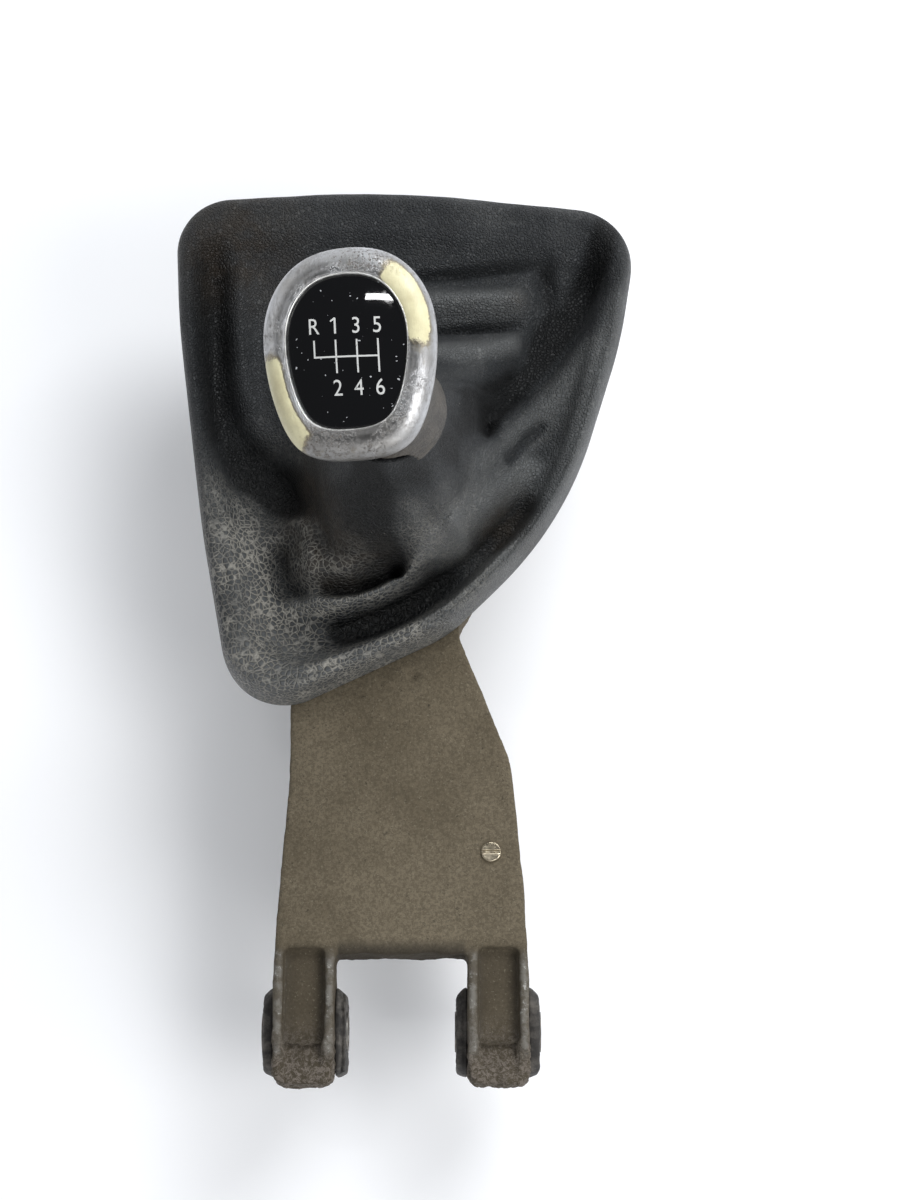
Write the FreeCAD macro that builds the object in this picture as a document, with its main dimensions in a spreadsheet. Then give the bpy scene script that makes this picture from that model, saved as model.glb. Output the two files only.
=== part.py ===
import FreeCAD, Part
import math
import os

from FreeCAD import Placement, Rotation, Vector

# A manual gear shift linkage taken out of a car: a foam-clad pressed steel arm that ends in
# a fork with two rubber bushes, the ball joint and lever that the arm carries, the selector
# rod under it, the leather gaiter on its frame, and the knob with its six-speed pattern.
# The origin is the middle of the fork's bolt axis. X runs along that axis, Y from the fork
# to the lever and Z upwards.

doc = FreeCAD.newDocument("gear_shift_linkage")

SIZES = [
    ("bolt_bore_radius", 5.1, "bore of the fork sleeves"),
    ("sleeve_radius", 6.6, "outside of the fork sleeves"),
    ("sleeve_length", 28.4, "length of one fork sleeve"),
    ("bush_core_radius", 9.0, "rubber inside the prong"),
    ("bush_head_span", 29.0, "rubber head, along the arm"),
    ("bush_head_height", 25.0, "rubber head, upright"),
    ("bush_head_drop", 2.5, "middle of the rubber head below the bolt axis"),
    ("bush_head_thickness", 3.7, "rubber head, along the bolt"),
    ("bush_head_corner", 7.0, "corner radius of the rubber head"),
    ("prong_pitch", 63.6, "middle to middle of the prongs"),
    ("prong_width", 20.0, "prong over its jacket"),
    ("prong_reach", 18.0, "bolt axis to the end of the jacket"),
    ("gap_depth", 24.0, "bolt axis to the end of the fork gap"),
    ("gap_corner", 3.5, "corner radius of the fork gap"),
    ("steel_thickness", 2.5, "sheet of the arm"),
    ("web_top", 12.0, "top of the arm's web above the bolt axis"),
    ("tray_depth", 13.0, "height of the arm's edge flanges"),
    ("ear_radius", 12.0, "steel ears round the bolt"),
    ("hip_left_in", 3.8, "prong's outer side to the left edge of the steel at the hip"),
    ("hip_right_in", 3.8, "prong's outer side to the right edge of the steel at the hip"),
    ("hip_station", 45.0, "place of both hips along the arm"),
    ("back_left", 35.2, "left edge of the steel further back"),
    ("back_station", 80.0, "where the left edge becomes straight"),
    ("shoulder_right", 34.0, "right edge of the steel at its shoulder"),
    ("shoulder_station", 87.0, "place of the shoulder along the arm"),
    ("throat_right", 15.4, "right edge of the steel at its throat"),
    ("throat_station", 133.5, "place of the throat along the arm"),
    ("jacket_thickness", 4.5, "foam on top of the web"),
    ("jacket_side", 2.5, "foam on the edges of the arm"),
    ("jacket_drop", 13.5, "height of the foam beside the web"),
    ("jacket_end", 148.0, "where the foam ends under the gaiter"),
    ("trough_floor", 0.8, "foam left on the web in the prong troughs"),
    ("trough_ridge", 3.2, "foam ridge beside each trough"),
    ("trough_start", 26.0, "near end of a trough, from the bolt axis"),
    ("trough_stop", 5.0, "far end of a trough, past the bolt axis"),
    ("rivet_in", 12.2, "prong's outer side to the rivet, across"),
    ("rivet_station", 57.5, "rivet of the jacket, along the arm"),
    ("rivet_shank", 2.0, "radius of the rivet's shank"),
    ("rivet_head", 3.3, "radius of the rivet's head"),
    ("rivet_rise", 1.3, "height of the rivet's head"),
    ("ball_station", 178.0, "lever ball, along the arm"),
    ("ball_rise", 4.0, "lever ball, above the bolt axis"),
    ("ball_radius", 14.0, "lever ball"),
    ("ball_half_height", 12.0, "lever ball, centre to its flat"),
    ("cup_gap", 0.3, "play between ball, cup and housing"),
    ("cup_wall", 5.4, "wall of the ball cup"),
    ("cup_half_height", 9.0, "ball cup, centre to its rim"),
    ("pivot_pin_radius", 3.0, "pins of the ball and of the cup"),
    ("pivot_pin_play", 0.05, "running play of those pins"),
    ("pivot_pin_bite", 4.5, "how far a pin reaches past its ball or cup"),
    ("pivot_pin_end", 0.9, "room past the end of a pin"),
    ("housing_wall", 4.0, "socket housing round the ball seat"),
    ("housing_below", 13.0, "socket housing below the ball centre"),
    ("housing_flange", 5.0, "how far the flange stands out"),
    ("housing_flange_thickness", 3.0, "flange on the arm's web"),
    ("retainer_inner", 17.3, "bore of the retaining ring"),
    ("retainer_outer", 27.0, "outside of the retaining ring"),
    ("retainer_thickness", 2.6, "retaining ring"),
    ("seat_margin", 2.0, "steel beyond the housing flange"),
    ("tongue_half_width", 15.0, "half width of the rear tongue"),
    ("tongue_past", 16.0, "rear grommet to the rear end of the arm"),
    ("tongue_taper", 38.0, "ball to where the tongue becomes straight"),
    ("rear_hole_gap", 68.0, "lever ball to the rear grommet"),
    ("rear_hole_radius", 9.5, "hole for the rear grommet"),
    ("grommet_lip", 2.4, "lip of the rear grommet past its hole"),
    ("grommet_lip_thickness", 3.0, "lip of the rear grommet"),
    ("rear_sleeve_radius", 6.0, "outside of the rear sleeve"),
    ("rear_bore_radius", 4.2, "bore of the rear sleeve"),
    ("rear_sleeve_proud", 0.5, "rear sleeve past the grommet"),
    ("lever_radius", 6.0, "lever rod"),
    ("lever_lean", 10.8, "upper lever, degrees to the left"),
    ("lever_rake", 3.4, "upper lever, degrees away from the fork"),
    ("crank_rise", 84.5, "bend of the lever above the bolt axis"),
    ("crank_radius", 30.0, "bend radius of the lever"),
    ("lever_top", 56.0, "bend to the top end of the lever"),
    ("eye_drop", 38.0, "ball to the lower eye of the lever"),
    ("eye_radius", 10.0, "lower eye of the lever"),
    ("eye_width", 12.0, "width of both rod eyes"),
    ("eye_bore", 6.5, "bore of the lower eye"),
    ("rod_radius", 4.5, "selector rod"),
    ("rod_play", 0.05, "running play on the rod's pins"),
    ("rod_bend", 8.0, "bend radius of the selector rod"),
    ("rod_offset", 21.0, "selector rod left of the lever"),
    ("rod_pin_end", 11.0, "end of the rod's pins past the middle"),
    ("rod_front_station", 82.0, "front pin of the rod, along the arm"),
    ("washer_radius", 8.5, "washers of the rear pin"),
    ("washer_thickness", 1.0, "washers of the rear pin"),
    ("clip_radius", 7.5, "spring clips on the rod's pins"),
    ("clip_thickness", 1.2, "spring clips on the rod's pins"),
    ("clip_play", 0.3, "room beside a clip"),
    ("coupling_eye_radius", 9.0, "eye of the front coupling"),
    ("coupling_radius", 11.0, "socket of the front coupling"),
    ("coupling_start", 9.0, "front pin to the socket's root"),
    ("coupling_end", 42.0, "front pin to the socket's mouth"),
    ("shaft_bore_radius", 7.5, "bore for the gearbox shaft"),
    ("shaft_bore_depth", 26.0, "depth of that bore"),
    ("cross_hole_radius", 2.5, "cross hole of the socket"),
    ("cross_hole_inset", 12.0, "cross hole from the socket's mouth"),
    ("lock_ring_wall", 1.2, "spring sleeve over the cross hole"),
    ("lock_ring_length", 10.0, "spring sleeve over the cross hole"),
    ("collar_radius", 14.0, "collar in the gaiter's neck"),
    ("collar_start", 15.0, "bend to the collar's lower end"),
    ("collar_length", 12.0, "collar in the gaiter's neck"),
    ("leather_thickness", 1.4, "leather of the gaiter"),
    ("neck_play", 0.5, "gaiter neck round the collar"),
    ("neck_rise", 106.0, "top of the gaiter's neck above the bolt axis"),
    ("rim_rise", 36.5, "crest of the gaiter's rim"),
    ("rim_foot", 17.4, "lower edge of the gaiter"),
    ("valley_rise", 23.0, "lowest ground of the gaiter inside its rim"),
    ("frame_inset", 2.8, "gaiter frame inside the leather's outline"),
    ("frame_wall", 4.2, "wall of the gaiter frame"),
    ("frame_height", 7.0, "height of the gaiter frame"),
    ("frame_seat", 0.3, "gaiter frame above the foam"),
    ("frame_clip_length", 10.0, "spring clips of the gaiter frame"),
    ("frame_clip_thickness", 1.0, "spring clips of the gaiter frame"),
    ("frame_clip_drop", 4.0, "spring clips below the gaiter frame"),
    ("frame_clip_play", 0.3, "spring clips off the wall of the gaiter frame"),
    ("gaiter_width", 164.0, "console opening, across"),
    ("gaiter_length", 185.5, "console opening, along the arm"),
    ("fold_depth", 8.0, "height of the leather's tallest fold"),
    ("skirt_start", 21.0, "bend to the lower edge of the knob's skirt"),
    ("skirt_radius", 19.5, "lower edge of the knob's skirt"),
    ("waist_station", 33.0, "bend to the waist of the grip"),
    ("waist_radius", 18.7, "waist of the grip"),
    ("chest_station", 50.0, "bend to the chest of the grip"),
    ("chest_radius", 21.5, "chest of the grip"),
    ("face_station", 66.0, "bend to the face plane of the knob"),
    ("face_tilt", 15.0, "knob face, degrees towards the fork"),
    ("knob_turn", 1.0, "knob about its own axis, degrees"),
    ("face_half_width", 25.9, "trim ring, half width"),
    ("face_half_height", 31.1, "trim ring, half height"),
    ("grip_wall", 2.0, "leather shell of the grip"),
    ("grip_inset", 0.6, "grip inside the trim ring's outline"),
    ("ring_height", 8.0, "trim ring above the face plane"),
    ("ring_roll", 5.6, "top of the trim ring inside its outline"),
    ("cap_half_width", 17.9, "black cap, half width"),
    ("cap_half_height", 22.4, "black cap, half height"),
    ("cap_height", 7.4, "black cap above the face plane"),
    ("cap_play", 0.05, "black cap inside the ring"),
    ("notch_radius", 8.5, "arched cut in the skirt's front edge"),
    ("knob_clip_radius", 10.0, "spring clip under the knob core"),
    ("knob_clip_thickness", 2.0, "spring clip under the knob core"),
]

sheet = doc.addObject("Spreadsheet::Sheet", "Sizes")
for row, (alias, number, note) in enumerate(SIZES, start=1):
    sheet.set("A%d" % row, note)
    sheet.set("B%d" % row, str(number))
    sheet.setAlias("B%d" % row, alias)
doc.recompute()


def size(alias):
    return float(sheet.get(alias))


ALONG_X = Rotation(Vector(0, 1, 0), 90)
ALONG_Y = Rotation(Vector(1, 0, 0), -90)
UPRIGHT = Rotation()
CLEAR = 1.0
nodes = []


def bind(thing, **formulas):
    for prop, formula in formulas.items():
        thing.setExpression(prop, formula)
    return thing


def place(thing, across="0", along="0", up="0", turn=UPRIGHT):
    thing.Placement = Placement(Vector(), turn)
    thing.setExpression("Placement.Base.x", across)
    thing.setExpression("Placement.Base.y", along)
    thing.setExpression("Placement.Base.z", up)
    return thing


def cylinder(name, radius, length, turn=UPRIGHT, **where):
    rod = bind(doc.addObject("Part::Cylinder", name), Radius=radius, Height=length)
    return place(rod, turn=turn, **where)


def box(name, length, width, height, **where):
    block = bind(doc.addObject("Part::Box", name), Length=length, Width=width, Height=height)
    return place(block, **where)


def sphere(name, radius, **where):
    return place(bind(doc.addObject("Part::Sphere", name), Radius=radius), **where)


def fuse(name, *things):
    joined = doc.addObject("Part::MultiFuse", name)
    joined.Shapes = list(things)
    return joined


def cut(name, base, *tools):
    result = doc.addObject("Part::Cut", name)
    result.Base = base
    result.Tool = tools[0] if len(tools) == 1 else fuse(name + "_tools", *tools)
    return result


def common(name, base, tool):
    result = doc.addObject("Part::Common", name)
    result.Base = base
    result.Tool = tool
    return result


def node(thing, label):
    thing.Label = label
    nodes.append(thing)
    return thing


def tube(name, inner, outer, length, turn=UPRIGHT, **where):
    wall = cylinder(name + "_wall", outer, length, turn, **where)
    bore = cylinder(name + "_bore", inner, length, turn, **where)
    return cut(name, wall, bore)


def rounded_outline(corners):
    """Lines and arcs through corners given as (x, y, radius), in one closed run."""
    starts, arcs, ends = [], [], []
    for index, (x, y, radius) in enumerate(corners):
        point = Vector(x, y, 0)
        back = (Vector(*corners[index - 1][:2], 0) - point).normalize()
        ahead = (Vector(*corners[(index + 1) % len(corners)][:2], 0) - point).normalize()
        half = back.getAngle(ahead) / 2
        inward = (back + ahead).normalize()
        starts.append(point + back * (radius / math.tan(half)))
        ends.append(point + ahead * (radius / math.tan(half)))
        middle = point + inward * (radius / math.sin(half) - radius)
        arcs.append(Part.Arc(starts[-1], middle, ends[-1]) if radius else None)
    edges = []
    for index, arc in enumerate(arcs):
        if arc:
            edges.append(arc)
        edges.append(Part.LineSegment(ends[index], starts[(index + 1) % len(corners)]))
    return edges


def sketch(name, edges):
    drawing = doc.addObject("Sketcher::SketchObject", name)
    for edge in edges:
        drawing.addGeometry(edge)
    return drawing


def extrude(name, profile, start, length):
    solid = doc.addObject("Part::Extrusion", name)
    solid.Base = profile
    solid.DirMode = "Custom"
    solid.Dir = Vector(0, 0, 1)
    solid.Solid = True
    solid.setExpression("LengthFwd", length)
    solid.setExpression("Placement.Base.z", start)
    return solid


def offset(name, profile, distance):
    grown = doc.addObject("Part::Offset2D", name)
    grown.Source = profile
    grown.Fill = False
    grown.setExpression("Value", distance)
    return grown


# The steel of the arm, seen from above: a fork at one end, a waist and a shoulder on the
# right, a wide seat for the ball housing and a narrow tongue to the rear grommet.
prong_side_x = size("prong_pitch") / 2 + size("prong_width") / 2
prong_out = prong_side_x - size("jacket_side")
prong_in = size("prong_pitch") / 2 - size("prong_width") / 2 + size("jacket_side")
prong_tip = size("jacket_side") - size("prong_reach")
gap_end = size("gap_depth") + size("jacket_side")
gap_round = size("gap_corner")
seat_radius = size("ball_radius") + 2 * size("cup_gap") + size("cup_wall")
housing_radius = seat_radius + size("housing_wall")
seat_half = housing_radius + size("housing_flange") + size("seat_margin")
ball_y = size("ball_station")
tongue = size("tongue_half_width")
tongue_start = ball_y + size("tongue_taper")
tongue_end = ball_y + size("rear_hole_gap") + size("tongue_past")

arm_corners = [
    (-prong_out, prong_tip, 2.0),
    (-prong_in, prong_tip, 2.0),
    (-prong_in, gap_end, gap_round),
    (prong_in, gap_end, gap_round),
    (prong_in, prong_tip, 2.0),
    (prong_out, prong_tip, 2.0),
    (prong_out, size("gap_depth") - 8, 20.0),
    (prong_side_x - size("hip_right_in"), size("hip_station"), 60.0),
    (size("shoulder_right"), size("shoulder_station"), 30.0),
    (size("throat_right"), size("throat_station"), 12.0),
    (seat_half, ball_y - seat_half / 2, 12.0),
    (seat_half, ball_y + seat_half / 2, 10.0),
    (tongue, tongue_start, 8.0),
    (tongue, tongue_end, 6.0),
    (-tongue, tongue_end, 6.0),
    (-tongue, tongue_start, 8.0),
    (-size("back_left"), ball_y + seat_half / 2, 10.0),
    (-size("back_left"), size("back_station"), 80.0),
    (size("hip_left_in") - prong_side_x, size("hip_station"), 60.0),
    (-prong_out, size("gap_depth") - 8, 20.0),
]
arm_outline = sketch("arm_outline", rounded_outline(arm_corners))
arm_inset = offset("arm_inset", arm_outline, "-Sizes.steel_thickness")
tray_floor = "Sizes.web_top - Sizes.tray_depth"
REAR = {"along": "Sizes.ball_station + Sizes.rear_hole_gap"}
RIVET_X = "Sizes.prong_pitch / 2 + Sizes.prong_width / 2 - Sizes.rivet_in"
arm_block = extrude("arm_block", arm_outline, tray_floor, "Sizes.tray_depth")
arm_hollow = extrude(
    "arm_hollow", arm_inset, tray_floor + " - 1", "Sizes.tray_depth - Sizes.steel_thickness + 1"
)
tray = cut("arm_tray", arm_block, arm_hollow)


def prong_side(side):
    return "(%d) * Sizes.prong_pitch / 2" % side


def ear(name, side, hand):
    """One steel ear: a round plate on the bolt axis with a strip up to the web."""
    inner = hand * (size("prong_width") / 2 - size("jacket_side"))
    start = inner if hand < 0 else inner - size("steel_thickness")
    left = prong_side(side) + " + (%f)" % start
    disc = cylinder(name + "_disc", "Sizes.ear_radius", "Sizes.steel_thickness", ALONG_X, across=left)
    strip = box(
        name + "_strip", "Sizes.steel_thickness", "2 * Sizes.ear_radius", "Sizes.web_top",
        across=left, along="-Sizes.ear_radius",
    )
    return fuse(name, disc, strip)


ears = [
    ear("ear_%s_%s" % (side_name, hand_name), side, hand)
    for side_name, side in (("left", -1), ("right", 1))
    for hand_name, hand in (("outer", side), ("inner", -side))
]
bush_way = cylinder(
    "bush_way", "Sizes.bush_core_radius", "2 * Sizes.prong_pitch", ALONG_X, across="-Sizes.prong_pitch"
)
HOUSING_RADIUS = (
    "(Sizes.ball_radius + 2 * Sizes.cup_gap + Sizes.cup_wall + Sizes.housing_wall)"
)
housing_way = cylinder(
    "housing_way", HOUSING_RADIUS, "2 * Sizes.tray_depth", along="Sizes.ball_station",
    up=tray_floor + " - 1",
)
grommet_way = cylinder(
    "grommet_way", "Sizes.rear_hole_radius", "2 * Sizes.tray_depth", up=tray_floor + " - 1", **REAR
)
rivet_way = cylinder(
    "rivet_way", "Sizes.rivet_shank", "3 * Sizes.tray_depth", across=RIVET_X,
    along="Sizes.rivet_station", up=tray_floor + " - 1",
)
arm_solid = fuse("arm_solid", tray, *ears)
node(cut("steel_arm", arm_solid, bush_way, housing_way, grommet_way, rivet_way), "shift_arm")

# The sound-deadening foam: a lid glued over the web and down the arm's edges, with a trough
# along the top of each prong and a full-height block over the bolt.
jacket_outline = offset("jacket_outline", arm_outline, "Sizes.jacket_side")
jacket_floor = "Sizes.web_top - Sizes.jacket_drop"
jacket_block = extrude(
    "jacket_block", jacket_outline, jacket_floor, "Sizes.jacket_drop + Sizes.jacket_thickness"
)
arm_room = extrude("arm_room", arm_outline, jacket_floor + " - 1", "Sizes.jacket_drop + 1")
jacket_far = box(
    "jacket_far", "4 * Sizes.prong_pitch", "4 * Sizes.prong_pitch", "4 * Sizes.prong_pitch",
    across="-2 * Sizes.prong_pitch", along="Sizes.jacket_end", up="-2 * Sizes.prong_pitch",
)


def trough(name, side):
    return box(
        name, "Sizes.prong_width - 2 * Sizes.trough_ridge", "Sizes.trough_start + Sizes.trough_stop",
        "2 * Sizes.jacket_thickness",
        across=prong_side(side) + " - Sizes.prong_width / 2 + Sizes.trough_ridge",
        along="-Sizes.trough_stop", up="Sizes.web_top + Sizes.trough_floor",
    )


node(
    cut(
        "foam", jacket_block, arm_room, jacket_far, trough("trough_left", -1),
        trough("trough_right", 1), bush_way, rivet_way,
    ),
    "foam_jacket",
)

rivet_stem = cylinder(
    "rivet_stem", "Sizes.rivet_shank", "Sizes.steel_thickness + Sizes.jacket_thickness",
    across=RIVET_X, along="Sizes.rivet_station", up="Sizes.web_top - Sizes.steel_thickness",
)
rivet_cap = cylinder(
    "rivet_cap", "Sizes.rivet_head", "Sizes.rivet_rise", across=RIVET_X,
    along="Sizes.rivet_station", up="Sizes.web_top + Sizes.jacket_thickness",
)
rivet_slot = box(
    "rivet_slot", "3 * Sizes.rivet_head", "Sizes.rivet_head / 4", "Sizes.rivet_rise",
    across=RIVET_X + " - 1.5 * Sizes.rivet_head", along="Sizes.rivet_station - Sizes.rivet_head / 8",
    up="Sizes.web_top + Sizes.jacket_thickness + Sizes.rivet_rise / 2",
)
node(cut("rivet", fuse("rivet_body", rivet_stem, rivet_cap), rivet_slot), "jacket_rivet")


# Each prong holds a rubber bush with a square-shouldered head on either side, bonded to a
# steel sleeve. The bolt of the gearbox bracket goes through both sleeves.
def bush_head(name, middle, start):
    half = size("bush_head_span") / 2
    top = size("bush_head_height") / 2
    corner = size("bush_head_corner")
    corners = [(-half, -top, corner), (half, -top, corner), (half, top, corner), (-half, top, corner)]
    head = doc.addObject("Part::Extrusion", name)
    head.Base = sketch(name + "_outline", rounded_outline(corners))
    head.DirMode = "Custom"
    head.Dir = Vector(0, 0, 1)
    head.Solid = True
    bind(head, LengthFwd="Sizes.bush_head_thickness")
    upright = Rotation(Vector(0, 1, 0), 90).multiply(Rotation(Vector(0, 0, 1), 90))
    return place(head, across=middle + start, up="-Sizes.bush_head_drop", turn=upright)


def fork_bush(name, side):
    middle = prong_side(side)
    core = cylinder(
        name + "_core", "Sizes.bush_core_radius", "Sizes.prong_width", ALONG_X,
        across=middle + " - Sizes.prong_width / 2",
    )
    near = bush_head(name + "_near", middle, " + Sizes.prong_width / 2")
    far = bush_head(name + "_far", middle, " - Sizes.prong_width / 2 - Sizes.bush_head_thickness")
    bore = cylinder(
        name + "_way", "Sizes.sleeve_radius", "2 * Sizes.prong_width", ALONG_X,
        across=middle + " - Sizes.prong_width",
    )
    return cut(name, fuse(name + "_rubber", core, near, far), bore)


for side_name, side in (("left", -1), ("right", 1)):
    node(fork_bush("fork_bush_" + side_name, side), "bush_" + side_name)
    node(
        tube(
            "fork_sleeve_" + side_name, "Sizes.bolt_bore_radius", "Sizes.sleeve_radius",
            "Sizes.sleeve_length", ALONG_X, across=prong_side(side) + " - Sizes.sleeve_length / 2",
        ),
        "sleeve_" + side_name,
    )

# The rear grommet: rubber with a lip above and below the web, and a steel sleeve inside.
WEB_UNDER = "Sizes.web_top - Sizes.steel_thickness"
LIP_RADIUS = "Sizes.rear_hole_radius + Sizes.grommet_lip"
grommet_height = "Sizes.steel_thickness + 2 * Sizes.grommet_lip_thickness"
grommet_core = cylinder(
    "grommet_core", "Sizes.rear_hole_radius", "Sizes.steel_thickness", up=WEB_UNDER, **REAR
)
lip_below = cylinder(
    "lip_below", LIP_RADIUS, "Sizes.grommet_lip_thickness",
    up=WEB_UNDER + " - Sizes.grommet_lip_thickness", **REAR
)
lip_above = cylinder(
    "lip_above", LIP_RADIUS, "Sizes.grommet_lip_thickness", up="Sizes.web_top", **REAR
)
rear_sleeve_way = cylinder(
    "rear_sleeve_way", "Sizes.rear_sleeve_radius", "2 * Sizes.tray_depth",
    up=WEB_UNDER + " - Sizes.tray_depth", **REAR
)
grommet_rubber = fuse("grommet_rubber", grommet_core, lip_below, lip_above)
node(cut("grommet", grommet_rubber, rear_sleeve_way), "rear_grommet")
node(
    tube(
        "rear_spacer", "Sizes.rear_bore_radius", "Sizes.rear_sleeve_radius",
        grommet_height + " + 2 * Sizes.rear_sleeve_proud",
        up=WEB_UNDER + " - Sizes.grommet_lip_thickness - Sizes.rear_sleeve_proud", **REAR
    ),
    "rear_sleeve",
)

# The ball joint: a housing dropped into the arm, a ring that closes it, and a cup that
# rocks from side to side in the housing on two pins along the arm.
BALL = {"along": "Sizes.ball_station", "up": "Sizes.ball_rise"}
CUP_RADIUS = "(Sizes.ball_radius + Sizes.cup_gap + Sizes.cup_wall)"
PIN_HOLE = "Sizes.pivot_pin_radius + Sizes.pivot_pin_play"
housing_stem = cylinder(
    "housing_stem", HOUSING_RADIUS, "Sizes.housing_below + Sizes.web_top - Sizes.ball_rise",
    along="Sizes.ball_station", up="Sizes.ball_rise - Sizes.housing_below",
)
housing_brim = cylinder(
    "housing_brim", HOUSING_RADIUS + " + Sizes.housing_flange", "Sizes.housing_flange_thickness",
    along="Sizes.ball_station", up="Sizes.web_top",
)
ball_seat = sphere("ball_seat", CUP_RADIUS + " + Sizes.cup_gap", **BALL)
cup_pin_way = cylinder(
    "cup_pin_way", PIN_HOLE, "2 * (" + CUP_RADIUS + " + Sizes.pivot_pin_bite)", ALONG_Y,
    along="Sizes.ball_station - " + CUP_RADIUS + " - Sizes.pivot_pin_bite", up="Sizes.ball_rise",
)
housing_solid = fuse("housing_solid", housing_stem, housing_brim)
node(cut("housing", housing_solid, ball_seat, cup_pin_way), "socket_housing")
node(
    tube(
        "retainer", "Sizes.retainer_inner", "Sizes.retainer_outer", "Sizes.retainer_thickness",
        along="Sizes.ball_station", up="Sizes.web_top + Sizes.housing_flange_thickness",
    ),
    "socket_ring",
)

cup_ball = sphere("cup_ball", CUP_RADIUS, **BALL)
cup_slice = cylinder(
    "cup_slice", CUP_RADIUS, "2 * Sizes.cup_half_height", along="Sizes.ball_station",
    up="Sizes.ball_rise - Sizes.cup_half_height",
)
cup_pins = cylinder(
    "cup_pins", "Sizes.pivot_pin_radius",
    "2 * (" + CUP_RADIUS + " + Sizes.pivot_pin_bite - Sizes.pivot_pin_end)", ALONG_Y,
    along="Sizes.ball_station - " + CUP_RADIUS + " - Sizes.pivot_pin_bite + Sizes.pivot_pin_end",
    up="Sizes.ball_rise",
)
cup_hollow = sphere("cup_hollow", "Sizes.ball_radius + Sizes.cup_gap", **BALL)
ball_pin_way = cylinder(
    "ball_pin_way", PIN_HOLE, "4 * Sizes.ball_radius", ALONG_X, across="-2 * Sizes.ball_radius", **BALL
)
cup_solid = fuse("cup_solid", common("cup_shell", cup_ball, cup_slice), cup_pins)
node(cut("cup", cup_solid, cup_hollow, ball_pin_way), "ball_cup")

# The lever: a steel rod that is straight through the ball, leans to the left above it, and
# has a flat eye for the selector rod at its lower end.
ball_z = size("ball_rise")
crank = Vector(0, ball_y, size("crank_rise"))
lean = Rotation(Vector(0, 1, 0), -size("lever_lean")).multiply(
    Rotation(Vector(1, 0, 0), -size("lever_rake"))
)
upper = Placement(crank, lean)
axis = lean.multVec(Vector(0, 0, 1))


def lever_path(foot, top):
    """Straight run, tangent arc and straight run from the foot to the top end."""
    back = (foot - crank).normalize()
    ahead = (top - crank).normalize()
    half = back.getAngle(ahead) / 2
    radius = size("crank_radius")
    start = crank + back * (radius / math.tan(half))
    stop = crank + ahead * (radius / math.tan(half))
    middle = crank + (back + ahead).normalize() * (radius / math.sin(half) - radius)
    edges = [
        Part.LineSegment(foot, start).toShape(),
        Part.Arc(start, middle, stop).toShape(),
        Part.LineSegment(stop, top).toShape(),
    ]
    return Part.Wire(edges)


def lever_shape():
    foot = Vector(0, ball_y, ball_z - size("eye_drop"))
    path = lever_path(foot, upper.multVec(Vector(0, 0, size("lever_top"))))
    section = Part.Wire(Part.makeCircle(size("lever_radius"), foot, Vector(0, 0, 1)))
    rod = path.makePipeShell([section], True, False)
    half = size("eye_width") / 2
    eye = Part.makeCylinder(size("eye_radius"), 2 * half, foot - Vector(half, 0, 0), Vector(1, 0, 0))
    bore = Part.makeCylinder(size("eye_bore"), 4 * half, foot - Vector(2 * half, 0, 0), Vector(1, 0, 0))
    return rod.fuse(eye).cut(bore).removeSplitter()


lever = doc.addObject("Part::Feature", "lever")
lever.Shape = lever_shape()
node(lever, "shift_lever")

ball_round = sphere("ball_round", "Sizes.ball_radius", **BALL)
ball_slice = cylinder(
    "ball_slice", "Sizes.ball_radius", "2 * Sizes.ball_half_height", along="Sizes.ball_station",
    up="Sizes.ball_rise - Sizes.ball_half_height",
)
PIN_REACH = "(Sizes.ball_radius + Sizes.pivot_pin_bite)"
ball_pins = cylinder(
    "ball_pins", "Sizes.pivot_pin_radius", "2 * " + PIN_REACH, ALONG_X, across="-" + PIN_REACH, **BALL
)
ball_bore = cylinder(
    "ball_bore", "Sizes.lever_radius", "4 * Sizes.ball_radius", along="Sizes.ball_station",
    up="Sizes.ball_rise - 2 * Sizes.ball_radius",
)
ball_solid = fuse("ball_solid", common("ball_cropped", ball_round, ball_slice), ball_pins)
node(cut("moulded_ball", ball_solid, ball_bore), "lever_ball")

# The selector rod: a round bar with both ends bent to pins. The rear pin turns in a plastic
# bush in the lever's eye, between two washers, and the front pin carries the coupling.
EYE = {"along": "Sizes.ball_station", "up": "Sizes.ball_rise - Sizes.eye_drop"}
FRONT = {"along": "Sizes.rod_front_station", "up": "Sizes.ball_rise - Sizes.eye_drop"}
HALF_EYE = "Sizes.eye_width / 2"
PIN_BORE = "Sizes.rod_radius + Sizes.rod_play"
node(
    tube("eye_lining", PIN_BORE, "Sizes.eye_bore", "Sizes.eye_width", ALONG_X, across="-" + HALF_EYE, **EYE),
    "eye_bush",
)
washer_left = tube(
    "washer_left", PIN_BORE, "Sizes.washer_radius", "Sizes.washer_thickness", ALONG_X,
    across="-" + HALF_EYE + " - Sizes.washer_thickness", **EYE
)
washer_right = tube(
    "washer_right", PIN_BORE, "Sizes.washer_radius", "Sizes.washer_thickness", ALONG_X,
    across=HALF_EYE, **EYE
)
washers = doc.addObject("Part::Compound", "washers")
washers.Links = [washer_left, washer_right]
node(washers, "eye_washers")

rod_z = ball_z - size("eye_drop")
rod_front = size("rod_front_station")
bend = size("rod_bend")
rod_x = size("rod_offset")
pin_end = size("rod_pin_end")
run_corners = [
    (pin_end, ball_y, 0),
    (-rod_x, ball_y, bend),
    (-rod_x, rod_front, bend),
    (pin_end, rod_front, 0),
]


def rod_path():
    edges = [edge.toShape() for edge in rounded_outline(run_corners)[:-1]]
    path = Part.Wire(edges)
    path.translate(Vector(0, 0, rod_z))
    return path


rod = doc.addObject("Part::Feature", "rod")
rod_start = Vector(pin_end, ball_y, rod_z)
rod_section = Part.Wire(Part.makeCircle(size("rod_radius"), rod_start, Vector(1, 0, 0)))
rod.Shape = rod_path().makePipeShell([rod_section], True, False)
node(rod, "selector_rod")

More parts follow.
